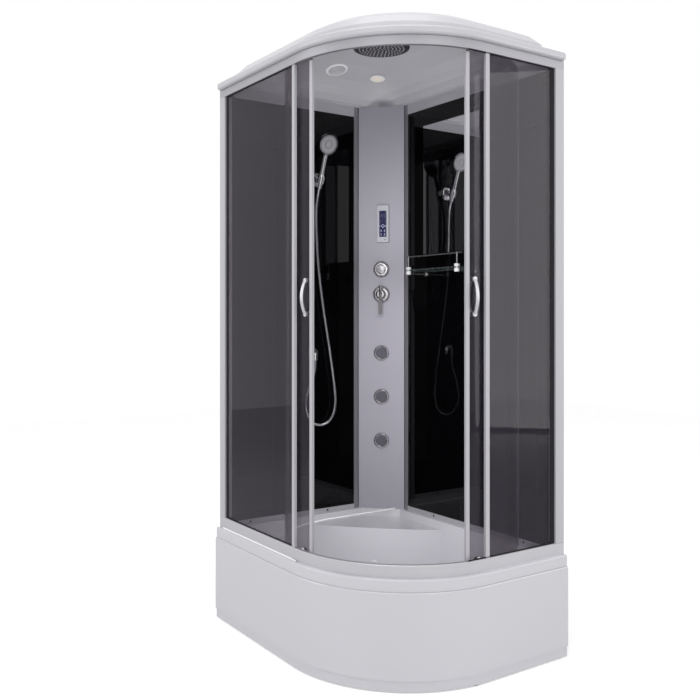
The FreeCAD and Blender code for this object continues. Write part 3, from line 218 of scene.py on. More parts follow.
def finish(name, colour, roughness, grain, metallic=0.0, shade=0.04, rough_spread=0.05, bump=0.0,
           coat=0.0, ior=1.5, glow=0.0, glow_colour=(1.0, 1.0, 1.0)):
    """Principled material with a noise pattern that shifts colour, roughness and surface height."""
    material = bpy.data.materials.new(name)
    material.use_nodes = True
    tree = material.node_tree
    shader = tree.nodes["Principled BSDF"]
    shader.inputs["Metallic"].default_value = metallic
    shader.inputs["IOR"].default_value = ior
    shader.inputs["Coat Weight"].default_value = coat
    shader.inputs["Coat Roughness"].default_value = COAT_ROUGHNESS
    shader.inputs["Emission Color"].default_value = (*glow_colour, 1.0)
    shader.inputs["Emission Strength"].default_value = glow
    place = tree.nodes.new("ShaderNodeTexCoord")
    stretch = tree.nodes.new("ShaderNodeMapping")
    stretch.inputs["Scale"].default_value = grain
    noise = tree.nodes.new("ShaderNodeTexNoise")
    noise.inputs["Scale"].default_value = 1.0
    noise.inputs["Detail"].default_value = GRAIN_DETAIL
    tree.links.new(place.outputs["Object"], stretch.inputs["Vector"])
    tree.links.new(stretch.outputs["Vector"], noise.inputs["Vector"])
    tint = tree.nodes.new("ShaderNodeMix")
    tint.data_type = "RGBA"
    tint.inputs["A"].default_value = (*[c * (1 - shade) for c in colour], 1.0)
    tint.inputs["B"].default_value = (*[min(1.0, c * (1 + shade)) for c in colour], 1.0)
    tree.links.new(noise.outputs["Fac"], tint.inputs["Factor"])
    tree.links.new(tint.outputs["Result"], shader.inputs["Base Color"])
    spread = tree.nodes.new("ShaderNodeMapRange")
    spread.inputs["To Min"].default_value = max(0.0, roughness - rough_spread)
    spread.inputs["To Max"].default_value = roughness + rough_spread
    tree.links.new(noise.outputs["Fac"], spread.inputs["Value"])
    tree.links.new(spread.outputs["Result"], shader.inputs["Roughness"])
    if bump:
        height = tree.nodes.new("ShaderNodeBump")
        height.inputs["Strength"].default_value = bump
        height.inputs["Distance"].default_value = BUMP_HEIGHT
        tree.links.new(noise.outputs["Fac"], height.inputs["Height"])
        tree.links.new(height.outputs["Normal"], shader.inputs["Normal"])
    return material


# %% [markdown]
# Tray, apron and roof are white acrylic, polished on the tray and a little duller on the roof.
# The roof's white is also a darker copy of the tray's: painted shade, which keeps its front
# below the apron. A thin coat over a plain white gives the soft highlight that runs along the
# tray's rim.

# %% Acrylic
acrylic = finish("white_acrylic", (0.565, 0.56, 0.595), 0.22, even(90), shade=0.01, bump=0.02, coat=0.35)
# painted shade: the roof's copy of the white acrylic is darker than the tray's
shaded_roof_acrylic = finish("shaded_roof_acrylic", (0.485, 0.48, 0.51), 0.35, even(70), shade=0.012, bump=0.03, coat=0.2)

# %% [markdown]
# Brushed aluminium shows fine lines along each bar. Stretching the noise makes them: a high
# scale across the lines and a low one along them. Upright bars and level rails are brushed in
# different directions, so each has its own finish. The top rail wears a darker copy of the
# level rails' aluminium, as painted shade. Satin anodising scatters light, so the bars
# are only partly metallic: a fully metallic bar would mirror the dark inside of the cabin.

# %% Aluminium
UPRIGHT_LINES = (900, 900, 6)
LEVEL_LINES = (6, 6, 900)
WIDE_LINES = (700, 700, 5)

upright_aluminium = finish("upright_aluminium", (0.455, 0.45, 0.475), 0.58, UPRIGHT_LINES, metallic=0.12,
                           shade=0.05, bump=0.05)
door_aluminium = finish("door_aluminium", (0.44, 0.435, 0.46), 0.55, UPRIGHT_LINES, metallic=0.15,
                        shade=0.05, bump=0.05)
level_aluminium = finish("level_aluminium", (0.52, 0.515, 0.545), 0.40, LEVEL_LINES, metallic=0.5,
                         shade=0.05, rough_spread=0.06, bump=0.05)
# painted shade: the top rail's aluminium is a darker copy of the level rails' finish
shaded_head_aluminium = finish("shaded_head_aluminium", (0.36, 0.355, 0.38), 0.42, LEVEL_LINES, metallic=0.4,
                        shade=0.05, rough_spread=0.06, bump=0.05)
column_aluminium = finish("column_aluminium", (0.37, 0.36, 0.41), 0.5, WIDE_LINES, metallic=0.3, bump=0.03)
trim_aluminium = finish("trim_aluminium", (0.26, 0.255, 0.28), 0.4, WIDE_LINES, metallic=0.5,
                        shade=0.05, bump=0.03)
bezel_satin = finish("bezel_satin", (0.44, 0.44, 0.485), 0.4, (500, 500, 8), metallic=0.3, bump=0.04)

# %% [markdown]
# Chrome is a mirror, so its look is mostly what it reflects. The fittings differ in how bright
# and how polished they are: the jets' housings, the wall fittings and the drain cover are the
# brightest, the knob and the rosettes come next, the lever and the shelf's bars are dark, and
# the door handles and hangers are satin.

# %% Chrome and steel
chrome = finish("polished_chrome", (0.80, 0.80, 0.815), 0.08, even(30), metallic=1.0, shade=0.02,
                rough_spread=0.03)
knob_chrome = finish("knob_chrome", (0.70, 0.69, 0.705), 0.16, even(30), metallic=1.0, shade=0.03,
                     rough_spread=0.03)
handle_chrome = finish("handle_chrome", (0.56, 0.56, 0.575), 0.12, even(30), metallic=1.0, shade=0.03,
                       rough_spread=0.03)
satin_chrome = finish("satin_chrome", (0.54, 0.54, 0.56), 0.30, even(120), metallic=0.75, bump=0.03)
shaded_chrome = finish("shaded_chrome", (0.33, 0.32, 0.32), 0.18, even(80), metallic=0.9, shade=0.06,
                       rough_spread=0.04)
dark_chrome = finish("dark_chrome", (0.17, 0.165, 0.17), 0.22, even(80), metallic=0.9, shade=0.06,
                     rough_spread=0.04)
hose_steel = finish("hose_steel", (0.52, 0.52, 0.535), 0.2, even(120), metallic=1.0, shade=0.05)
rain_steel = finish("rain_steel", (0.05, 0.047, 0.052), 0.35, even(200), metallic=0.8, shade=0.1, bump=0.05)
jet_face = finish("jet_face", (0.105, 0.10, 0.125), 0.45, even(250), metallic=0.3, shade=0.12, bump=0.08)
spray_plate = finish("spray_plate", (0.40, 0.40, 0.42), 0.35, even(200), metallic=0.4, shade=0.05, bump=0.05)

# %% [markdown]
# Tinted safety glass lets a little over half of the light straight through, slightly violet,
# and its surface adds a dark sheen of its own. A mix of a Transparent shader and the polished
# surface gives both, and stays cheap to render with four panes in a row. The shelf's clear
# glass and the doors' vinyl strips are made the same way. The wall panels are black glass that
# lets nothing through, and the mirror is a metal layer, so it is fully metallic.

# %% Glass
PANE_IOR = 1.42


def pane_finish(name, colour, share, through=(1.0, 1.0, 1.0), roughness=0.02):
    """A share of polished surface, mixed with a clear way through."""
    material = finish(name, colour, roughness, even(3.0), shade=0.03, rough_spread=0.01, ior=PANE_IOR)
    tree = material.node_tree
    clear = tree.nodes.new("ShaderNodeBsdfTransparent")
    clear.inputs["Color"].default_value = (*through, 1.0)
    both = tree.nodes.new("ShaderNodeMixShader")
    both.inputs["Fac"].default_value = share
    tree.links.new(clear.outputs["BSDF"], both.inputs[1])
    tree.links.new(tree.nodes["Principled BSDF"].outputs["BSDF"], both.inputs[2])
    tree.links.new(both.outputs["Shader"], tree.nodes["Material Output"].inputs["Surface"])
    return material


tinted_glass = pane_finish("tinted_glass", (0.024, 0.019, 0.030), 0.42, through=(1.0, 0.975, 1.0))
clear_glass = pane_finish("clear_glass", (0.25, 0.30, 0.30), 0.12)
seal_vinyl = pane_finish("seal_vinyl", (0.62, 0.62, 0.66), 0.55, roughness=0.3)
black_glass = finish("black_glass", (0.0010, 0.0010, 0.0014), 0.02, even(4), shade=0.2, rough_spread=0.01,
                     ior=1.32)
mirror_glass = finish("mirror_glass", (0.88, 0.89, 0.90), 0.01, even(3), metallic=1.0, shade=0.01,
                      rough_spread=0.005)

# %% [markdown]
# The display is dark blue glass with a faint glow, because its light is on. Its signs glow a
# little more, and the figures and level bars are only dimly lit. The ceiling lamp's lens has a
# warm glow of its own, too weak to light the cabin.

# %% Display and lamp
display_glass = finish("display_glass", (0.006, 0.006, 0.040), 0.06, even(60), shade=0.15,
                       rough_spread=0.02, glow=0.02, glow_colour=(0.10, 0.11, 0.70))
dim_segment = finish("dim_segment", (0.055, 0.055, 0.13), 0.3, even(300), shade=0.05)
icon_light = finish("icon_light", (0.50, 0.54, 0.74), 0.4, even(300), shade=0.03,
                    glow=0.14, glow_colour=(0.6, 0.65, 1.0))
lamp_lens = finish("lamp_lens", (0.80, 0.74, 0.66), 0.4, even(500), shade=0.03, bump=0.1,
                   glow=0.12, glow_colour=(1.0, 0.86, 0.70))

# %% [markdown]
# Rubber is dark and dull. Plastics have a fine bump. The rail's bead is a near-white with a
# wet-looking coat, and its white is a painted highlight.

# %% Rubber, plastic and the bead's painted highlight
black_rubber = finish("black_rubber", (0.010, 0.009, 0.012), 0.75, even(300), shade=0.2, bump=0.1, ior=1.3)
grey_rubber = finish("grey_rubber", (0.05, 0.05, 0.055), 0.55, even(300), shade=0.1, bump=0.1)
grey_plastic = finish("grey_plastic", (0.36, 0.37, 0.38), 0.42, even(200), shade=0.05, bump=0.08)
white_plastic = finish("white_plastic", (0.68, 0.68, 0.70), 0.35, even(150), shade=0.03, bump=0.05)
ceiling_white = finish("ceiling_white", (0.88, 0.88, 0.90), 0.35, even(150), shade=0.02, bump=0.05)
speaker_grey = finish("speaker_grey", (0.50, 0.50, 0.52), 0.42, even(200), shade=0.05, bump=0.08)
# painted highlight: near-white, so that the rail's bead shows as the bright line on the rim's edge
highlight_silicone = finish("highlight_silicone", (0.94, 0.94, 0.95), 0.25, even(120), shade=0.01, bump=0.03, coat=0.3)

# %% [markdown]
# Behind the column and under the tray are the plain metals of a plumber's and a fitter's work:
# brass valves, a steel boiler, a painted frame and zinc-plated legs.

# %% Hidden metals
brass = finish("brass", (0.62, 0.44, 0.20), 0.32, even(120), metallic=1.0, shade=0.08, bump=0.05)
boiler_steel = finish("boiler_steel", (0.60, 0.60, 0.61), 0.3, (8, 8, 700), metallic=1.0, shade=0.06,
                      bump=0.05)
frame_paint = finish("frame_paint", (0.26, 0.27, 0.28), 0.45, even(250), shade=0.08, bump=0.12)
zinc = finish("zinc", (0.62, 0.63, 0.64), 0.35, even(150), metallic=1.0, shade=0.1, bump=0.08)

# %% [markdown]
# Each finish now lists the parts that wear it. A part's material slots are emptied first, so
# that the new finish is the only one it has.

# %% Who wears what
wears = {
    acrylic: ["tray_shell", "apron_panel", "steam_outlet"],
    shaded_roof_acrylic: ["roof_shell"],
    upright_aluminium: ["left_post", "right_post", "pane_edge_profiles"],
    door_aluminium: ["left_door_profile", "right_door_profile"],
    shaded_head_aluminium: ["top_rail"],
    trim_aluminium: ["column_trims"],
    level_aluminium: ["bottom_rail", "wall_base_trims", "wall_top_trims"],
    column_aluminium: ["column_panel"],
    bezel_satin: ["control_bezel"],
    handle_chrome: ["hand_shower", "shower_cradle"],
    knob_chrome: ["mixer_cap", "diverter_knob", "valve_escutcheons"],
    chrome: ["jet_housings", "shower_wall_fittings", "drain_cover"],
    satin_chrome: ["left_door_handle", "right_door_handle", "left_door_hangers", "right_door_hangers"],
    shaded_chrome: ["shelf_hardware"],
    dark_chrome: ["mixer_lever"],
    black_glass: ["side_wall_glass", "back_wall_glass"],
    tinted_glass: ["left_fixed_glass", "right_fixed_glass", "left_door_glass", "right_door_glass"],
    clear_glass: ["glass_shelf"],
    mirror_glass: ["wall_mirror"],
    display_glass: ["control_display"],
    black_rubber: ["foot_pads"],
    rain_steel: ["rain_head"],
    jet_face: ["upper_jet_nozzle", "middle_jet_nozzle", "lower_jet_nozzle"],
    spray_plate: ["spray_face"],
    grey_plastic: ["drain_body", "service_pipes"],
    ceiling_white: ["speaker"],
    white_plastic: ["left_front_roller", "left_rear_roller", "left_guide_roller",
                    "right_front_roller", "right_rear_roller", "right_guide_roller"],
    lamp_lens: ["ceiling_lamp"],
    brass: ["valve_bodies"],
    boiler_steel: ["steam_generator"],
    frame_paint: ["tray_frame"],
    zinc: ["tray_legs"],
}
for material, names in wears.items():
    for name in names:
        nodes[name].data.materials.clear()
        nodes[name].data.materials.append(material)
hose.data.materials.append(hose_steel)
print("finishes on the parts:", len(wears))
print("nodes without a finish:", sorted(set(nodes) - {n for names in wears.values() for n in names}))

# %% [markdown]
# A few parts show two finishes. The shelf's clamps are white on chrome bars, the lamp has a
# white ring and back round its lens, and the speaker has a grey dish in a white rim. Their
# faces are sorted by how far they lie from the part's axis.


# %% Two-tone parts
def second_finish(name, material, wanted):
    """Give the faces of a node that are wanted, by their middle, a second finish."""
    mesh = nodes[name].data
    mesh.materials.append(material)
    for face in mesh.polygons:
        if wanted(face.center):
            face.material_index = len(mesh.materials) - 1
    changed = sum(face.material_index == len(mesh.materials) - 1 for face in mesh.polygons)
    print("second finish on %s: %d of %d faces" % (name, changed, len(mesh.polygons)))


def off_axis(point, place, direction):
    """Distance of a point from an axis."""
    arm = point - Vector(place)
    return (arm - Vector(direction) * arm.dot(Vector(direction))).length


CLAMP_X, CLAMP_Y, CLAMP_BACK_Y = (-0.192, 0.090), 0.279, 0.290
CLAMP_FOOT, CLAMP_TOP, CLAMP_REACH = 1.3005, 1.3285, 0.0105


def on_clamp(point):
    """Is the point on one of the two clamps that hold the glass shelf?"""
    reach = min(off_axis(point, (x, CLAMP_Y, 0), (0, 0, 1)) for x in CLAMP_X)
    return CLAMP_FOOT < point.z < CLAMP_TOP and reach < CLAMP_REACH and point.y < CLAMP_BACK_Y


LAMP_PLACE, LAMP_DOWN = Vector((-0.329, 0.229, 2.0966)), Vector((0.1378, -0.1378, -0.9808))
LENS_RADIUS, LENS_BACK = 0.0205, 0.001


def on_lamp_ring(point):
    """Is the point outside the lens or behind it?"""
    behind = (point - LAMP_PLACE).dot(LAMP_DOWN) < LENS_BACK
    return behind or off_axis(point, LAMP_PLACE, LAMP_DOWN) > LENS_RADIUS


CEILING_SLOPE = math.atan2(30.0, 105.0)         # 30 mm of rise in 105 mm, where the speaker sits
SPEAKER_PLACE = Vector((-0.334, 0.035, 2.09986))
SPEAKER_DOWN = Vector((math.sin(CEILING_SLOPE), 0.0, -math.cos(CEILING_SLOPE)))
DISH_RADIUS = 0.0355


def on_dish(point):
    """Is the point inside the speaker's rim?"""
    return off_axis(point, SPEAKER_PLACE, SPEAKER_DOWN) < DISH_RADIUS


second_finish("shelf_hardware", white_plastic, on_clamp)
second_finish("ceiling_lamp", ceiling_white, on_lamp_ring)
second_finish("speaker", speaker_grey, on_dish)

# %% [markdown]
# ## Places on the cabin
# The column stands in the room's corner at 45 degrees, and the doors run round the front corner.
# Many small pieces sit on one or the other, so on_column and round_front turn a distance along
# those surfaces into a place in the room, and facing_matrix stands a piece there.

# %% Column and round front
ACROSS = Vector((math.sqrt(0.5), math.sqrt(0.5), 0.0))       # along the column's face, to the right
FACING = Vector((math.sqrt(0.5), -math.sqrt(0.5), 0.0))      # out of the column, into the cabin
COLUMN_UPRIGHT = Matrix((ACROSS, (0, 0, 1), FACING)).transposed().to_4x4()
CORNER_RADIUS = 0.440
ARC_CENTRE = Vector((right_x - CORNER_RADIUS, front_y + CORNER_RADIUS, 0.0))
JET_RADIUS, DIVERTER_RADIUS, MIXER_RADIUS = 0.031, 0.032, 0.034       # of the round plates

jet_heights = {jet: middle_of_part(jet + "_jet_nozzle")[2] for jet in ("upper", "middle", "lower")}
diverter_height, mixer_height = middle_of_part("diverter_knob")[2], middle_of_part("mixer_cap")[2]
column_middle = Vector((*middle_of_part("upper_jet_nozzle")[:2], 0.0))      # the jets swivel in its face
print("jet heights:", jet_heights, "diverter:", diverter_height, "mixer:", mixer_height)


def on_column(offset, z, out=0.0):
    """Place on the column's face, or in front of it."""
    return column_middle + ACROSS * offset + FACING * out + Vector((0.0, 0.0, z))


def round_front(angle_deg, radius, z):
    """Point, outward direction and direction along the arc, at an angle round the front corner."""
    a = math.radians(angle_deg)
    outward, along = Vector((math.sin(a), -math.cos(a), 0.0)), Vector((math.cos(a), math.sin(a), 0.0))
    return ARC_CENTRE + outward * radius + Vector((0.0, 0.0, z)), outward, along


def facing_matrix(place, direction):
    """Matrix that stands a piece made along +Z at a place, pointing in a direction."""
    turn = Vector(direction).to_track_quat("Z", "Y").to_matrix().to_4x4()
    return Matrix.Translation(place) @ turn


# %% [markdown]
# ## Working by hand
# Every small piece below starts as a primitive and is shaped in edit mode. Two habits keep that
# safe. Everything is deselected first, because an operator acts on all that is selected. Faces
# and edges are then picked in code, by where they are or which way they face.


# %% Edit mode helpers
def hands_off():
    """Leave edit mode and deselect everything."""
    if bpy.context.object and bpy.context.object.mode == "EDIT":
        bpy.ops.object.mode_set(mode="OBJECT")
    bpy.ops.object.select_all(action="DESELECT")


def open_mesh(piece, name):
    """Name a fresh primitive and open it for shaping, with nothing selected."""
    piece.name = name
    piece.data.name = name
    bpy.ops.object.mode_set(mode="EDIT")
    bpy.ops.mesh.select_all(action="DESELECT")
    return piece


def open_cube(name, width, depth, height):
    """Cube stretched to its three sizes, open for shaping with all of it selected."""
    hands_off()
    bpy.ops.mesh.primitive_cube_add(size=1.0, location=(0, 0, 0))
    cube = open_mesh(bpy.context.object, name)
    bpy.ops.mesh.select_all(action="SELECT")
    bpy.ops.transform.resize(value=(width, depth, height))
    return cube


def open_plane(name, width, depth):
    """Plane stretched to its two sizes, open for shaping with all of it selected."""
    hands_off()
    bpy.ops.mesh.primitive_plane_add(size=1.0, location=(0, 0, 0))
    plane = open_mesh(bpy.context.object, name)
    bpy.ops.mesh.select_all(action="SELECT")
    bpy.ops.transform.resize(value=(width, depth, 1.0))
    return plane


def pick_faces(piece, wanted):
    """Select only the faces that are wanted."""
    bpy.ops.mesh.select_all(action="DESELECT")
    bpy.ops.mesh.select_mode(type="FACE")
    mesh = bmesh.from_edit_mesh(piece.data)
    mesh.normal_update()
    for face in mesh.faces:
        if wanted(face):
            face.select_set(True)
    bmesh.update_edit_mesh(piece.data)


def pick_top(piece):
    """Select the faces that look up."""
    pick_faces(piece, lambda face: face.normal.z > 0.9)


def pick_edges(piece, wanted):
    """Select only the edges that are wanted."""
    bpy.ops.mesh.select_all(action="DESELECT")
    bpy.ops.mesh.select_mode(type="EDGE")
    mesh = bmesh.from_edit_mesh(piece.data)
    for edge in mesh.edges:
        if wanted(edge):
            edge.select_set(True)
    bmesh.update_edit_mesh(piece.data)


def middle_of(edge):
    """Point half-way along an edge."""
    return (edge.verts[0].co + edge.verts[1].co) / 2


def close_mesh(piece, smooth_angle=35.0):
    """Turn the faces outwards, shade the round parts smooth and leave edit mode."""
    bpy.ops.mesh.select_all(action="SELECT")
    bpy.ops.mesh.normals_make_consistent(inside=False)
    bpy.ops.object.mode_set(mode="OBJECT")
    bpy.ops.object.shade_smooth_by_angle(angle=math.radians(smooth_angle))
    return piece


# %% [markdown]
# What repeats is modelled once, at the origin. Each copy has a mesh of its own, moved to its
# place in its vertices, because the export puts every object back at the origin.


# %% Copies
def put_copy(model, name, matrix, body, material):
    """Copy of a modelled piece with its place in its mesh, riding on a body."""
    data = model.data.copy()
    data.transform(matrix)
    if matrix.to_3x3().determinant() < 0:
        data.flip_normals()
    data.materials.clear()
    data.materials.append(material)
    data.name = name
    piece = bpy.data.objects.new(name, data)
    bpy.context.scene.collection.objects.link(piece)
    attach(piece, body)
    return piece


def put_away(model):
    """Remove a model once its copies are made."""
    hands_off()
    data = model.data
    bpy.data.objects.remove(model)
    bpy.data.meshes.remove(data)


def put_one(model, name, matrix, body, material):
    """A modelled piece that is needed only once."""
    put_copy(model, name, matrix, body, material)
    put_away(model)


def put_black(model, name, matrix):
    """A black rubber piece on the cabin that is needed only once."""
    put_one(model, name, matrix, "cabin", black_rubber)


# %% [markdown]
# ## Rubber nozzles
# Water leaves the spray heads through short rubber nozzles, set in rings. One nozzle is
# modelled: a low cylinder whose top is drawn in, inset and pushed down to make its bore. It
# keeps to a few dozen faces, because it is copied many times.

# %% One nozzle
TIP_SHARE, WALL_SHARE, BORE_SHARE = 0.78, 0.22, 0.6


def model_nozzle(name, radius, height, sides=8):
    """Short nozzle with a drawn-in tip and a bore."""
    hands_off()
    bpy.ops.mesh.primitive_cylinder_add(vertices=sides, radius=radius, depth=height,
                                        location=(0, 0, height / 2))
    nozzle = open_mesh(bpy.context.object, name)
    pick_top(nozzle)
    bpy.ops.transform.resize(value=(TIP_SHARE, TIP_SHARE, 1.0))
    bpy.ops.mesh.inset(thickness=radius * WALL_SHARE)
    bpy.ops.mesh.extrude_region_move(TRANSFORM_OT_translate={"value": (0, 0, -height * BORE_SHARE)})
    return close_mesh(nozzle, 40.0)


def ring_of_copies(model, names, frame_matrix, rings, body, material):
    """Copies in rings round the frame's Z axis: each ring is a radius and a count."""
    made = 0
    for radius, count in rings:
        start = 0.5 if count % 4 == 0 else 0.0       # half a step, so that no copy lies on an axis
        for k in range(count):
            a = 2 * math.pi * (k + start) / count
            place = Matrix.Translation((radius * math.cos(a), radius * math.sin(a), 0.0))
            put_copy(model, "%s_%d" % (names, made), frame_matrix @ place, body, material)
            made += 1
    return made


# %% [markdown]
# The hand shower's face is tilted with its handle. Its middle and its outward direction come
# from the handle: 142 mm up from the socket, and square to it.

# %% Hand shower nozzles
SHOWER_LEAN = math.radians(20.0)
SHOWER_SOCKET = Vector((-0.430, 0.022, 1.682))
FACE_ALONG_HANDLE, FACE_OUT = 0.142, 0.0099
SPRAY_RINGS = [(0.0302, 26), (0.0252, 22), (0.0205, 18)]
MIST_RINGS = [(0.0095, 9), (0.0050, 5)]

shower_up = Vector((math.sin(SHOWER_LEAN), 0.0, math.cos(SHOWER_LEAN)))
shower_out = Vector((math.cos(SHOWER_LEAN), 0.0, -math.sin(SHOWER_LEAN)))
spray_place = facing_matrix(SHOWER_SOCKET + shower_up * FACE_ALONG_HANDLE + shower_out * FACE_OUT, shower_out)
nozzle = model_nozzle("nozzle", radius=0.0016, height=0.0016)
count = ring_of_copies(nozzle, "spray_nozzle", spray_place, SPRAY_RINGS, "shower_cradle",
                       black_rubber)
count += ring_of_copies(nozzle, "mist_nozzle", spray_place, MIST_RINGS, "shower_cradle",
                        grey_rubber)
put_away(nozzle)
print("hand shower nozzles:", count)

# %% [markdown]
# A raised chrome ring parts the outer jets from the fine middle ones, and another rims the
# face. A ring is a circle whose edge is extruded and resized step by step, so the list of
# steps is its section.


# %% Ring model
def model_ring(name, radius, steps, sides=48):
    """Closed ring: each step lifts the new edge and draws it in or out; the last joins the first."""
    hands_off()
    bpy.ops.mesh.primitive_circle_add(vertices=sides, radius=radius, fill_type="NOTHING", location=(0, 0, 0))
    ring = open_mesh(bpy.context.object, name)
    bpy.ops.mesh.select_all(action="SELECT")
    for lift, new_radius in steps:
        bpy.ops.mesh.extrude_edges_move(TRANSFORM_OT_translate={"value": (0, 0, lift)})
        scale = new_radius / radius
        bpy.ops.transform.resize(value=(scale, scale, 1.0))
        radius = new_radius
    pick_edges(ring, lambda edge: edge.is_boundary)
    bpy.ops.mesh.bridge_edge_loops()
    return close_mesh(ring)


spray_ring = model_ring("spray_ring_model", 0.0165, [(0.0009, 0.0160), (0.0, 0.0140), (-0.0009, 0.0135)])
put_one(spray_ring, "spray_ring", spray_place, "shower_cradle", chrome)
rim_ring = model_ring("spray_rim_model", 0.0352, [(0.0009, 0.0348), (0.0, 0.0332), (-0.0009, 0.0328)], 64)
put_one(rim_ring, "spray_rim", spray_place, "shower_cradle", chrome)

# %% [markdown]
# The rain head looks straight down from the ceiling. Its nozzles are longer. One sits in the
# middle, six go round it, and each further ring has six more, which keeps them evenly spread.

# %% Rain head nozzles
RAIN_FIRST_RING, RAIN_RING_STEP, RAIN_RINGS = 0.014, 0.013, 6
RAIN_SINK = 0.0001                              # into the plate

rain_x, rain_y, _ = middle_of_part("rain_head")
rain_face = (round(rain_x, 4), rain_y, box_of("rain_head")[0][2] + RAIN_SINK)
rings = [(0.0, 1)] + [(RAIN_FIRST_RING + RAIN_RING_STEP * k, 6 * (k + 1)) for k in range(RAIN_RINGS)]
rain_nozzle = model_nozzle("rain_nozzle_model", radius=0.0026, height=0.0032)
count = ring_of_copies(rain_nozzle, "rain_nozzle", facing_matrix(rain_face, (0, 0, -1)), rings,
                       "cabin", white_plastic)
put_away(rain_nozzle)
print("rain head nozzles:", count)

# %% [markdown]
# Each body jet is a ball slice with rings of fine outlets. The outlets ride on their own jet,
# because each jet swivels by itself.

# %% Body jet outlets
JET_FACE_OUT = 0.0089                           # from the column to the face of a jet
OUTLET_RINGS = [(0.0, 1), (0.0065, 6), (0.0125, 12), (0.0185, 18)]

jet_places = {jet: facing_matrix(on_column(0.0, z, JET_FACE_OUT), FACING) for jet, z in jet_heights.items()}
jet_outlet = model_nozzle("jet_nozzle_model", radius=0.0020, height=0.0014)
for jet, place in jet_places.items():
    count = ring_of_copies(jet_outlet, jet + "_jet_outlet", place, OUTLET_RINGS, jet + "_jet_nozzle",
                           grey_rubber)
put_away(jet_outlet)
print("outlets on each jet:", count)

# %% [markdown]
# A lighter ring with a dished inner edge rims the face of each jet. A thin black gasket lies
# round each round plate where it meets the column. It is a seal that could be there, and its
# black is painted shade: it draws the shadow gap as a fine dark line round the jets, the knob
# and the mixer.

# %% Jet rims and painted shade round the plates
GASKET_GAP, GASKET_WIDTH, GASKET_HEIGHT = 0.0001, 0.0012, 0.0012

jet_rim = model_ring("jet_rim_model", 0.0240,
                     [(0.0012, 0.0238), (0.0, 0.0230), (-0.0008, 0.0218), (-0.0004, 0.0216)], 40)
for jet, place in jet_places.items():
    put_copy(jet_rim, jet + "_jet_rim", place, jet + "_jet_nozzle", knob_chrome)
put_away(jet_rim)

# painted shade: the black rings draw the shadow gap round each round plate
plates = [(jet + "_jet", z, JET_RADIUS) for jet, z in jet_heights.items()]
plates += [("diverter", diverter_height, DIVERTER_RADIUS), ("mixer", mixer_height, MIXER_RADIUS)]
for plate, z, radius in plates:
    inner = radius + GASKET_GAP
    outer = inner + GASKET_WIDTH
    steps = [(GASKET_HEIGHT, inner), (0.0, outer), (-GASKET_HEIGHT, outer)]
    shade_gasket = model_ring(plate + "_gasket_model", inner, steps, 56)
    put_black(shade_gasket, plate + "_gasket", facing_matrix(on_column(0.0, z, GASKET_GAP), FACING))
print("gaskets round plates:", len(plates))

# %% [markdown]
# The front of the diverter's knob is brushed. Its faces are picked by how far they stand out
# from the column.

# %% Knob face
KNOB_FRONT = 0.0281
second_finish("diverter_knob", satin_chrome, lambda point: (point - column_middle).dot(FACING) > KNOB_FRONT)

# %% [markdown]
# The mixer's lever runs on above its cap as a slim bar. The upper end turns with the cap. A
# stretched cube with a bevelled front is enough, drawn in a little towards its end.

# %% Lever tail
TAIL_WIDTH, TAIL_LENGTH, TAIL_THICKNESS = 0.0118, 0.033, 0.0026
TAIL_TAPER, TAIL_BEVEL = 0.86, 0.0008
TAIL_ABOVE_MIXER, TAIL_OUT = 0.0185, 0.0299

tail = open_cube("lever_tail_model", TAIL_WIDTH, TAIL_LENGTH, TAIL_THICKNESS)
pick_faces(tail, lambda face: face.normal.y > 0.9)
bpy.ops.transform.resize(value=(TAIL_TAPER, 1.0, 1.0))
pick_top(tail)
bpy.ops.mesh.bevel(offset=TAIL_BEVEL, segments=2)
close_mesh(tail)
tail_place = Matrix.Translation(on_column(0.0, mixer_height + TAIL_ABOVE_MIXER, TAIL_OUT)) @ COLUMN_UPRIGHT
put_one(tail, "lever_tail", tail_place, "mixer_cap", dark_chrome)

# %% [markdown]
# ## Glass seals
# The trailing edge of each sliding door wears a clear vinyl strip with a U-shaped section. The
# section is drawn flat: a thin plane is split by bisect, its two end edges are extruded into
# legs, and the whole outline is then extruded to the height of the door.

# %% Door seals
LEFT_TRAIL = 8.4 - 50.0                         # degrees round the front: leading edge, less the door's span
RIGHT_TRAIL = 90.0 - LEFT_TRAIL
DOOR_RADIUS, DOOR_FOOT, DOOR_HEIGHT = 0.4045, 0.3555, 1.590
SEAL_WIDTH, SEAL_WALL, SEAL_LEG = 0.0082, 0.0013, 0.0095
SEAL_BEHIND_EDGE = 0.0009


def model_channel(name, width, wall, leg, height):
    """U-shaped strip along Z, with its legs towards +Y."""
    strip = open_plane(name, width, wall)
    for side in (-1, 1):
        bpy.ops.mesh.select_all(action="SELECT")
        bpy.ops.mesh.bisect(plane_co=(side * (width / 2 - wall), 0, 0), plane_no=(1, 0, 0))
    pick_edges(strip, lambda edge: middle_of(edge).y > wall * 0.49
               and abs(middle_of(edge).x) > width / 2 - wall)
    bpy.ops.mesh.extrude_edges_move(TRANSFORM_OT_translate={"value": (0, leg, 0)})
    bpy.ops.mesh.select_all(action="SELECT")
    bpy.ops.mesh.extrude_region_move(TRANSFORM_OT_translate={"value": (0, 0, height)})
    return close_mesh(strip)


door_seal = model_channel("door_seal_model", SEAL_WIDTH, SEAL_WALL, SEAL_LEG, DOOR_HEIGHT)
for door, angle, onto_door in (("left", LEFT_TRAIL, 1), ("right", RIGHT_TRAIL, -1)):
    end, outward, along = round_front(angle, DOOR_RADIUS, DOOR_FOOT)
    legs, side = along * onto_door, outward * onto_door
    turn = Matrix((side, legs, (0, 0, 1))).transposed().to_4x4()
    place = Matrix.Translation(end - legs * SEAL_BEHIND_EDGE) @ turn
    put_copy(door_seal, door + "_door_seal", place, door + "_door", seal_vinyl)
put_away(door_seal)
print("door seals at %.1f and %.1f degrees" % (LEFT_TRAIL, RIGHT_TRAIL))

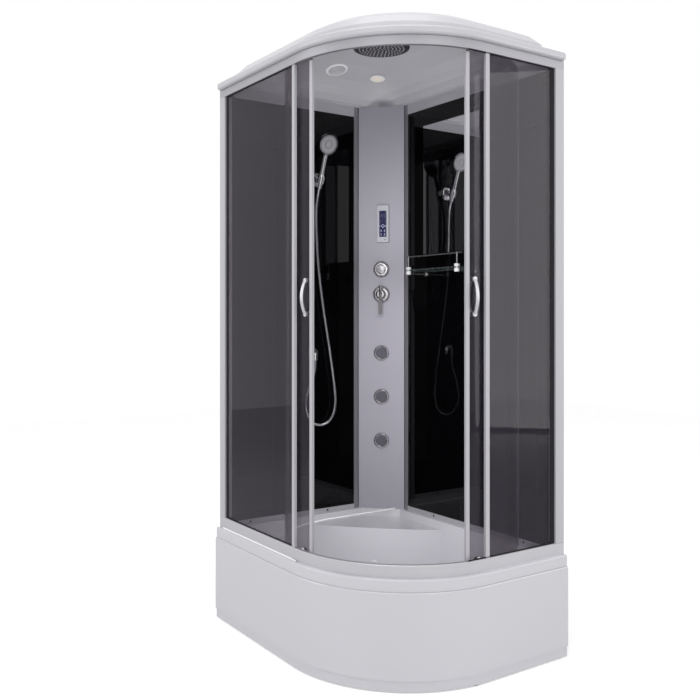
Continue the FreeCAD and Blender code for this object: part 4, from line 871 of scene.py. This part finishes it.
# %% [markdown]
# A black gasket lies on each fixed pane beside its post: painted shade for the post's inner
# profile, which lies in shadow behind the glass. Thinner ones lie along the rails. A gasket is
# a flat strip with a soft raised lip, made by an inset and an extrude.

# %% Pane gaskets, with painted shade beside the posts
PANE_GASKET_THICKNESS, PANE_GASKET_LIP = 0.0016, 0.0008
LEVEL_GASKET_WIDTH, LEVEL_GASKET_IN = 0.0040, 0.0022         # its middle is that far in from the rail
POST_GASKET_GAP = 0.001                         # what both ends of a post's gasket leave free together


def model_gasket(name, width, thickness, length, lip):
    """Strip along Z, lying in the XZ plane, with its raised lip towards -Y."""
    strip = open_cube(name, width, thickness, length)
    pick_faces(strip, lambda face: face.normal.y < -0.9)
    bpy.ops.mesh.inset(thickness=width * 0.2)
    bpy.ops.mesh.extrude_region_move(TRANSFORM_OT_translate={"value": (0, -lip, 0)})
    bpy.ops.transform.resize(value=(0.7, 1.0, 0.999))
    pick_edges(strip, lambda edge: abs(middle_of(edge).y - thickness / 2) < 1e-5)
    bpy.ops.mesh.bevel(offset=thickness * 0.3, segments=2)
    return close_mesh(strip)


def turned(degrees, axis="Z"):
    """Turn about an axis of the room."""
    return Matrix.Rotation(math.radians(degrees), 4, axis)


pane_foot, pane_top = box_of("bottom_rail")[1][2], box_of("top_rail")[0][2]     # what shows between the rails
pane_middle, post_length = (pane_foot + pane_top) / 2, pane_top - pane_foot - POST_GASKET_GAP
gasket_y = box_of("left_fixed_glass")[0][1] - PANE_GASKET_THICKNESS / 2
gasket_x = box_of("right_fixed_glass")[1][0] + PANE_GASKET_THICKNESS / 2
# the two post strips are painted shade for the post's inner profile in shadow
gaskets = [("left_post", (-0.4480, -0.3800, pane_middle), post_length, 0.0140, turned(0.0)),
           ("right_post", (0.4800, 0.3480, pane_middle), post_length, 0.0180, turned(90.0))]
for side, x, y, length, turn in (("left", -0.2120, gasket_y, 0.4600, 0.0),
                                 ("right", gasket_x, 0.1580, 0.3640, 90.0)):
    for end, z in (("foot", pane_foot + LEVEL_GASKET_IN), ("head", pane_top - LEVEL_GASKET_IN)):
        level_turn = turned(turn) @ turned(90.0, "Y")
        gaskets.append(("%s_%s" % (side, end), (x, y, z), length, LEVEL_GASKET_WIDTH, level_turn))
for name, middle, length, width, turn in gaskets:
    strip = model_gasket(name + "_gasket_model", width, PANE_GASKET_THICKNESS, length, PANE_GASKET_LIP)
    put_black(strip, name + "_gasket", Matrix.Translation(middle) @ turn)
print("pane gaskets:", len(gaskets))

# %% [markdown]
# ## The control panel
# The screen shows a direction ring and rows of small signs. They are thin raised pieces, a
# fraction of a millimetre proud, so they catch light and can't flicker against the glass.

# %% Signs on the display
SIGN_OUT = 0.0084
PAD_HEIGHT, PAD_DOT_REACH = 1.511, 0.0125
KEY_REACH, KEY_RING_HEIGHTS, KEY_BAR_HEIGHTS = 0.0068, (1.493, 1.478), (1.4885, 1.4730)
LEVEL_REACH, LEVEL_HEIGHTS = 0.0085, (1.527, 1.531, 1.535)
BAR_THICKNESS, BAR_CROWN = 0.0006, 0.0002


panel_middle = Vector(middle_of_part("control_bezel"))
panel_offset = round((panel_middle - column_middle).dot(ACROSS), 4)     # right of the column's middle
print("the panel sits %.1f mm right of the column's middle" % (panel_offset * 1000))


def model_bar(name, width, height):
    """Small raised bar with a drawn-in top."""
    bar = open_cube(name, width, height, BAR_THICKNESS)
    pick_top(bar)
    bpy.ops.mesh.inset(thickness=height * 0.2)
    bpy.ops.transform.translate(value=(0, 0, BAR_CROWN))
    return close_mesh(bar)


def put_signs(model, names, first, spots, material):
    """Copies of a sign at spots on the screen, each an offset and a height; returns the next number."""
    for number, (offset, z) in enumerate(spots, first):
        place = facing_matrix(on_column(panel_offset + offset, z, SIGN_OUT), FACING)
        put_copy(model, "%s_%d" % (names, number), place, "cabin", material)
    return first + len(spots)


# The pad's diamond is a ring with four sides.
diamond = model_ring("diamond_model", 0.0082, [(0.0004, 0.00796), (0.0, 0.0058), (-0.0004, 0.00556)], 4)
put_one(diamond, "pad_diamond", facing_matrix(on_column(panel_offset, PAD_HEIGHT, SIGN_OUT), FACING), "cabin",
        icon_light)
dot = model_ring("dot_model", 0.0021, [(0.0004, 0.0020), (0.0, 0.0008), (-0.0004, 0.0007)], 16)
signs = put_signs(dot, "pad_dot", 0, [(x, PAD_HEIGHT) for x in (-PAD_DOT_REACH, PAD_DOT_REACH)], icon_light)
key_sides = (-KEY_REACH, KEY_REACH)
signs = put_signs(dot, "key_ring", signs, [(x, z) for z in KEY_RING_HEIGHTS for x in key_sides], icon_light)
put_away(dot)
bar = model_bar("bar_model", width=0.0056, height=0.0013)
signs = put_signs(bar, "key_bar", signs, [(x, z) for z in KEY_BAR_HEIGHTS for x in key_sides], icon_light)
level_spots = [(x, z) for z in LEVEL_HEIGHTS for x in (-LEVEL_REACH, 0.0, LEVEL_REACH)]
signs = put_signs(bar, "level_bar", signs, level_spots, dim_segment)
put_away(bar)
print("signs on the display, with the pad's diamond:", signs + 1)

# %% [markdown]
# Two figures give the steam temperature. Text becomes a mesh before its place is applied, so it
# ends up like every other piece: at the origin, with its place in its vertices.

# %% Temperature figures
FIGURE_SIZE, FIGURE_THICKNESS, FIGURE_HEIGHT, FIGURE_OUT = 0.024, 0.0002, 1.546, 0.0085

hands_off()
bpy.ops.object.text_add(location=(0, 0, 0))
figures = bpy.context.object
figures.data.body = "45"
figures.data.size = FIGURE_SIZE
figures.data.extrude = FIGURE_THICKNESS
figures.data.align_x = "CENTER"
bpy.ops.object.convert(target="MESH")
put_one(bpy.context.object, "temperature_figures",
        Matrix.Translation(on_column(panel_offset, FIGURE_HEIGHT, FIGURE_OUT)) @ COLUMN_UPRIGHT,
        "cabin", dim_segment)

# %% [markdown]
# ## Ceiling speaker
# The speaker's cone hides behind a pressed grille. A disc is inset again and again, and its
# middle is pushed in and lifted back in turn, which leaves round ridges.

# %% Speaker grille
GRILLE_RADIUS, GRILLE_THICKNESS, GRILLE_OUT = 0.030, 0.0016, 0.0034
RIDGES, RIDGE_SLOPE, RIDGE_FLAT, RIDGE_DEPTH = 8, 0.0016, 0.0014, 0.0010

hands_off()
bpy.ops.mesh.primitive_circle_add(vertices=48, radius=GRILLE_RADIUS, fill_type="NGON", location=(0, 0, 0))
grille = open_mesh(bpy.context.object, "grille_model")
bpy.ops.mesh.select_all(action="SELECT")
bpy.ops.mesh.extrude_region_move(TRANSFORM_OT_translate={"value": (0, 0, GRILLE_THICKNESS)})
for step in range(RIDGES):
    bpy.ops.mesh.inset(thickness=RIDGE_SLOPE)
    bpy.ops.transform.translate(value=(0, 0, RIDGE_DEPTH if step % 2 else -RIDGE_DEPTH))
    bpy.ops.mesh.inset(thickness=RIDGE_FLAT)
close_mesh(grille, 20.0)
grille_place = facing_matrix(SPEAKER_PLACE + SPEAKER_DOWN * GRILLE_OUT, SPEAKER_DOWN)
put_one(grille, "speaker_grille", grille_place, "cabin", speaker_grey)

# %% [markdown]
# ## Highlight bead
# A bright white bead runs along the foot of the bottom rail, where a silicone seal would sit.
# It is a painted highlight: it stands in for the bright line that light draws on the tray
# rim's rounded edge. It is one circle, extruded along the straight sides and spun round the
# corner.

# %% Highlight bead
BEAD_RADIUS, BEAD_Z, BEAD_LINE = 0.0028, 0.3422, 0.4268      # the line is the bead's radius round the corner
BEAD_START_X, BEAD_RIGHT_RUN = -0.470, 0.330

hands_off()
# the bead is a painted highlight along the tray's rim edge
bpy.ops.mesh.primitive_circle_add(vertices=10, radius=BEAD_RADIUS, fill_type="NGON",
                                  location=(BEAD_START_X, ARC_CENTRE.y - BEAD_LINE, BEAD_Z),
                                  rotation=(0, math.pi / 2, 0))
highlight_bead = open_mesh(bpy.context.object, "rail_highlight_bead_model")
bpy.ops.object.mode_set(mode="OBJECT")
bpy.ops.object.transform_apply(location=True, rotation=True, scale=True)
bpy.ops.object.mode_set(mode="EDIT")
bpy.ops.mesh.select_all(action="SELECT")
bpy.ops.mesh.extrude_region_move(TRANSFORM_OT_translate={"value": (ARC_CENTRE.x - BEAD_START_X, 0, 0)})
bpy.ops.mesh.spin(steps=48, angle=math.pi / 2, center=(ARC_CENTRE.x, ARC_CENTRE.y, BEAD_Z), axis=(0, 0, 1))
bpy.ops.mesh.extrude_region_move(TRANSFORM_OT_translate={"value": (0, BEAD_RIGHT_RUN, 0)})
bpy.ops.mesh.select_all(action="SELECT")
bpy.ops.mesh.remove_doubles(threshold=0.00001)
close_mesh(highlight_bead, 50.0)
print("bead box:", [tuple(round(c, 4) for c in corner) for corner in (highlight_bead.bound_box[0], highlight_bead.bound_box[6])])
put_one(highlight_bead, "rail_highlight_bead", Matrix.Identity(4), "cabin", highlight_silicone)

# %% [markdown]
# ## Painted shadow lines on the column
# A thin black strip runs where the column meets each of its two trims, from the tray to the
# ceiling. It is made as a seal, and it is painted shade for the shadow line in that joint. The
# display's bezel has the same black strip of painted shade as the round plates, here as a
# square frame: a plane whose middle is inset and removed.

# %% Painted shade at the trims and round the bezel
TRIM_EDGE, TRIM_FACE = 0.1638, 0.0280           # along the wall to the trim's edge, and out to its face
TRIM_SEAL_FOOT, TRIM_SEAL_TOP, TRIM_SEAL_WIDTH = 0.3450, 2.0080, 0.0026
trim_seal_edge, trim_seal_face = TRIM_EDGE + TRIM_SEAL_WIDTH / 2, TRIM_FACE + 0.0002
trim_seal_height, trim_seal_middle = TRIM_SEAL_TOP - TRIM_SEAL_FOOT, (TRIM_SEAL_FOOT + TRIM_SEAL_TOP) / 2
# painted shade: black strips for the shadow lines where the column meets its trims
for side, x, y, turn in (("back", left_x + trim_seal_edge, back_y - trim_seal_face, 0.0),
                         ("side", left_x + trim_seal_face, back_y - trim_seal_edge, 90.0)):
    trim_shadow_strip = model_gasket(side + "_trim_shadow_strip_model", TRIM_SEAL_WIDTH, thickness=0.0012,
                             length=trim_seal_height, lip=0.0006)
    put_black(trim_shadow_strip, side + "_trim_shadow_strip", Matrix.Translation((x, y, trim_seal_middle)) @ turned(turn))


def model_frame(name, inner_width, inner_height, border, rise):
    """Low square frame round an opening."""
    outline = open_plane(name, inner_width + 2 * border, inner_height + 2 * border)
    bpy.ops.mesh.inset(thickness=border)
    bpy.ops.mesh.delete(type="FACE")
    bpy.ops.mesh.select_all(action="SELECT")
    bpy.ops.mesh.extrude_region_move(TRANSFORM_OT_translate={"value": (0, 0, rise)})
    return close_mesh(outline)


BEZEL_WIDTH = 0.048
bezel_low, bezel_high = box_of("control_bezel")
# painted shade: a black frame for the shadow line round the bezel
bezel_shadow_gasket = model_frame("bezel_shadow_gasket_model", BEZEL_WIDTH, bezel_high[2] - bezel_low[2], border=0.0011,
                           rise=GASKET_HEIGHT)
put_black(bezel_shadow_gasket, "bezel_shadow_gasket",
          Matrix.Translation(on_column(panel_offset, panel_middle.z, GASKET_GAP)) @ COLUMN_UPRIGHT)

# %% [markdown]
# ## Screw caps
# Small caps cover the screws that hold the base trims. A cap is a short cylinder whose top is
# inset and lifted in three steps, which rounds it. The sensor on the display's bezel is the
# same shape, smaller and flatter.

# %% Screw caps
CAP_Z, CAP_LIFTS = 0.3500, (0.35, 0.2, 0.08)
SIDE_TRIM_X, BACK_TRIM_Y = -0.4721, 0.3721      # the faces of the base trims


def model_cap(name, radius, height):
    """Round cap with a domed top."""
    hands_off()
    bpy.ops.mesh.primitive_cylinder_add(vertices=24, radius=radius, depth=height, location=(0, 0, height / 2))
    cap = open_mesh(bpy.context.object, name)
    pick_top(cap)
    for lift in CAP_LIFTS:
        bpy.ops.mesh.inset(thickness=radius * 0.22)
        bpy.ops.transform.translate(value=(0, 0, height * lift))
    return close_mesh(cap, 50.0)


caps = [("side_trim_cap", (SIDE_TRIM_X, 0.082, CAP_Z), (1, 0, 0)),
        ("side_trim_cap_front", (SIDE_TRIM_X, -0.270, CAP_Z), (1, 0, 0)),
        ("back_trim_cap", (-0.150, BACK_TRIM_Y, CAP_Z), (0, -1, 0)),
        ("back_trim_cap_right", (0.330, BACK_TRIM_Y, CAP_Z), (0, -1, 0))]
cap = model_cap("cap_model", radius=0.0042, height=0.0012)
for name, place, direction in caps:
    put_copy(cap, name, facing_matrix(place, direction), "cabin", black_rubber)
put_away(cap)
SENSOR_OFFSET, SENSOR_HEIGHT, SENSOR_OUT = 0.0165, 1.4545, 0.0089
panel_sensor = model_cap("bezel_dot_model", radius=0.0022, height=0.0005)
put_black(panel_sensor, "panel_sensor",
          facing_matrix(on_column(SENSOR_OFFSET, SENSOR_HEIGHT, SENSOR_OUT), FACING))
print("screw caps:", len(caps))

# %% [markdown]
# ## The studio
# The cabin stands on a plain pale floor in a white surround. The camera sees both as white, by
# the kind of ray that asks, so no extra light is needed for it and the floor keeps its shadow.

# %% Floor
FLOOR_SIZE, FLOOR_GREY, FLOOR_ROUGHNESS, FLOOR_GLOW = 14.0, 0.85, 0.8, 0.4

hands_off()
bpy.ops.mesh.primitive_plane_add(size=FLOOR_SIZE, location=(0.0, 0.0, 0.0))
floor = bpy.context.object
floor.name = "studio_floor"
floor_material = bpy.data.materials.new("studio_white")
floor_material.use_nodes = True
floor_material.cycles.emission_sampling = "NONE"       # its glow lights nothing
floor_tree = floor_material.node_tree
floor_shader = floor_tree.nodes["Principled BSDF"]
floor_shader.inputs["Base Color"].default_value = (FLOOR_GREY, FLOOR_GREY, FLOOR_GREY, 1.0)
floor_shader.inputs["Roughness"].default_value = FLOOR_ROUGHNESS
floor_shader.inputs["Emission Color"].default_value = (1.0, 1.0, 1.0, 1.0)
floor_glow = floor_tree.nodes.new("ShaderNodeMath")
floor_glow.operation = "MULTIPLY"
floor_glow.inputs[1].default_value = FLOOR_GLOW
floor_rays = floor_tree.nodes.new("ShaderNodeLightPath")
floor_tree.links.new(floor_rays.outputs["Is Camera Ray"], floor_glow.inputs[0])
floor_tree.links.new(floor_glow.outputs[0], floor_shader.inputs["Emission Strength"])
floor.data.materials.append(floor_material)

# %% [markdown]
# The surround lights the cabin at a lower level than it shows. Chrome and glass see it as white
# too, so glossy and transmission rays count as seeing.

# %% World
WORLD_LIGHT, WORLD_SEEN = 0.62, 1.0

world = bpy.data.worlds.new("studio")
bpy.context.scene.world = world
world.use_nodes = True
world_tree = world.node_tree
surround = world_tree.nodes["Background"]
surround.inputs["Color"].default_value = (1.0, 1.0, 1.0, 1.0)
world_rays = world_tree.nodes.new("ShaderNodeLightPath")
sees = world_rays.outputs["Is Camera Ray"]
for kind in ("Is Glossy Ray", "Is Transmission Ray"):
    either = world_tree.nodes.new("ShaderNodeMath")
    either.operation = "MAXIMUM"
    world_tree.links.new(sees, either.inputs[0])
    world_tree.links.new(world_rays.outputs[kind], either.inputs[1])
    sees = either.outputs[0]
level = world_tree.nodes.new("ShaderNodeMapRange")
level.inputs["To Min"].default_value = WORLD_LIGHT
level.inputs["To Max"].default_value = WORLD_SEEN
world_tree.links.new(sees, level.inputs["Value"])
world_tree.links.new(level.outputs["Result"], surround.inputs["Strength"])

# %% [markdown]
# Soft boxes stand in front, at both sides, behind on the right and overhead. Three weak ones
# hang in the cabin, because the tinted panes and the roof keep most light out: they light the
# column, the ceiling and the seat, and no pane or chrome part mirrors them.


# %% Lamps
def soft_light(name, place, aim, width, height, power):
    """Rectangular soft box that points at a place, hidden from the camera."""
    data = bpy.data.lights.new(name, "AREA")
    data.shape = "RECTANGLE"
    data.size = width
    data.size_y = height
    data.energy = power
    lamp = bpy.data.objects.new(name, data)
    bpy.context.scene.collection.objects.link(lamp)
    lamp.location = place
    lamp.rotation_euler = (Vector(aim) - Vector(place)).to_track_quat("-Z", "Y").to_euler()
    lamp.visible_camera = False
    return lamp


soft_light("front_light", (2.6, -3.4, 2.4), (0, 0, 1.0), 2.4, 2.4, 25.5)
soft_light("left_light", (-1.8, -3.6, 2.0), (0, 0, 0.9), 2.0, 2.0, 36.0)
soft_light("side_light", (4.2, -0.6, 2.0), (0, 0, 0.9), 2.0, 2.0, 28.0)
soft_light("back_right_light", (4.4, 4.1, 1.75), (0.2, 0, 1.2), 2.0, 3.4, 60.0)
soft_light("top_light", (0.6, -0.6, 4.2), (0, 0, 1.0), 2.4, 2.4, 40.0)
inside_lamps = [
    soft_light("cabin_light", (0.210, -0.160, 1.0), (-0.40, 0.30, 1.0), 0.5, 1.4, 5.3),
    soft_light("ceiling_wash", (0.02, 0.0, 1.35), (0.02, 0.0, 2.1), 0.5, 0.5, 1.7),
    soft_light("seat_wash", (-0.02, 0.01, 1.3), (-0.02, 0.01, 0.3), 0.4, 0.4, 1.3)]
for lamp in inside_lamps:
    lamp.visible_glossy = False
    lamp.visible_transmission = False
bpy.context.scene.view_settings.view_transform = "Standard"
print("lamps inside the cabin:", len(inside_lamps))
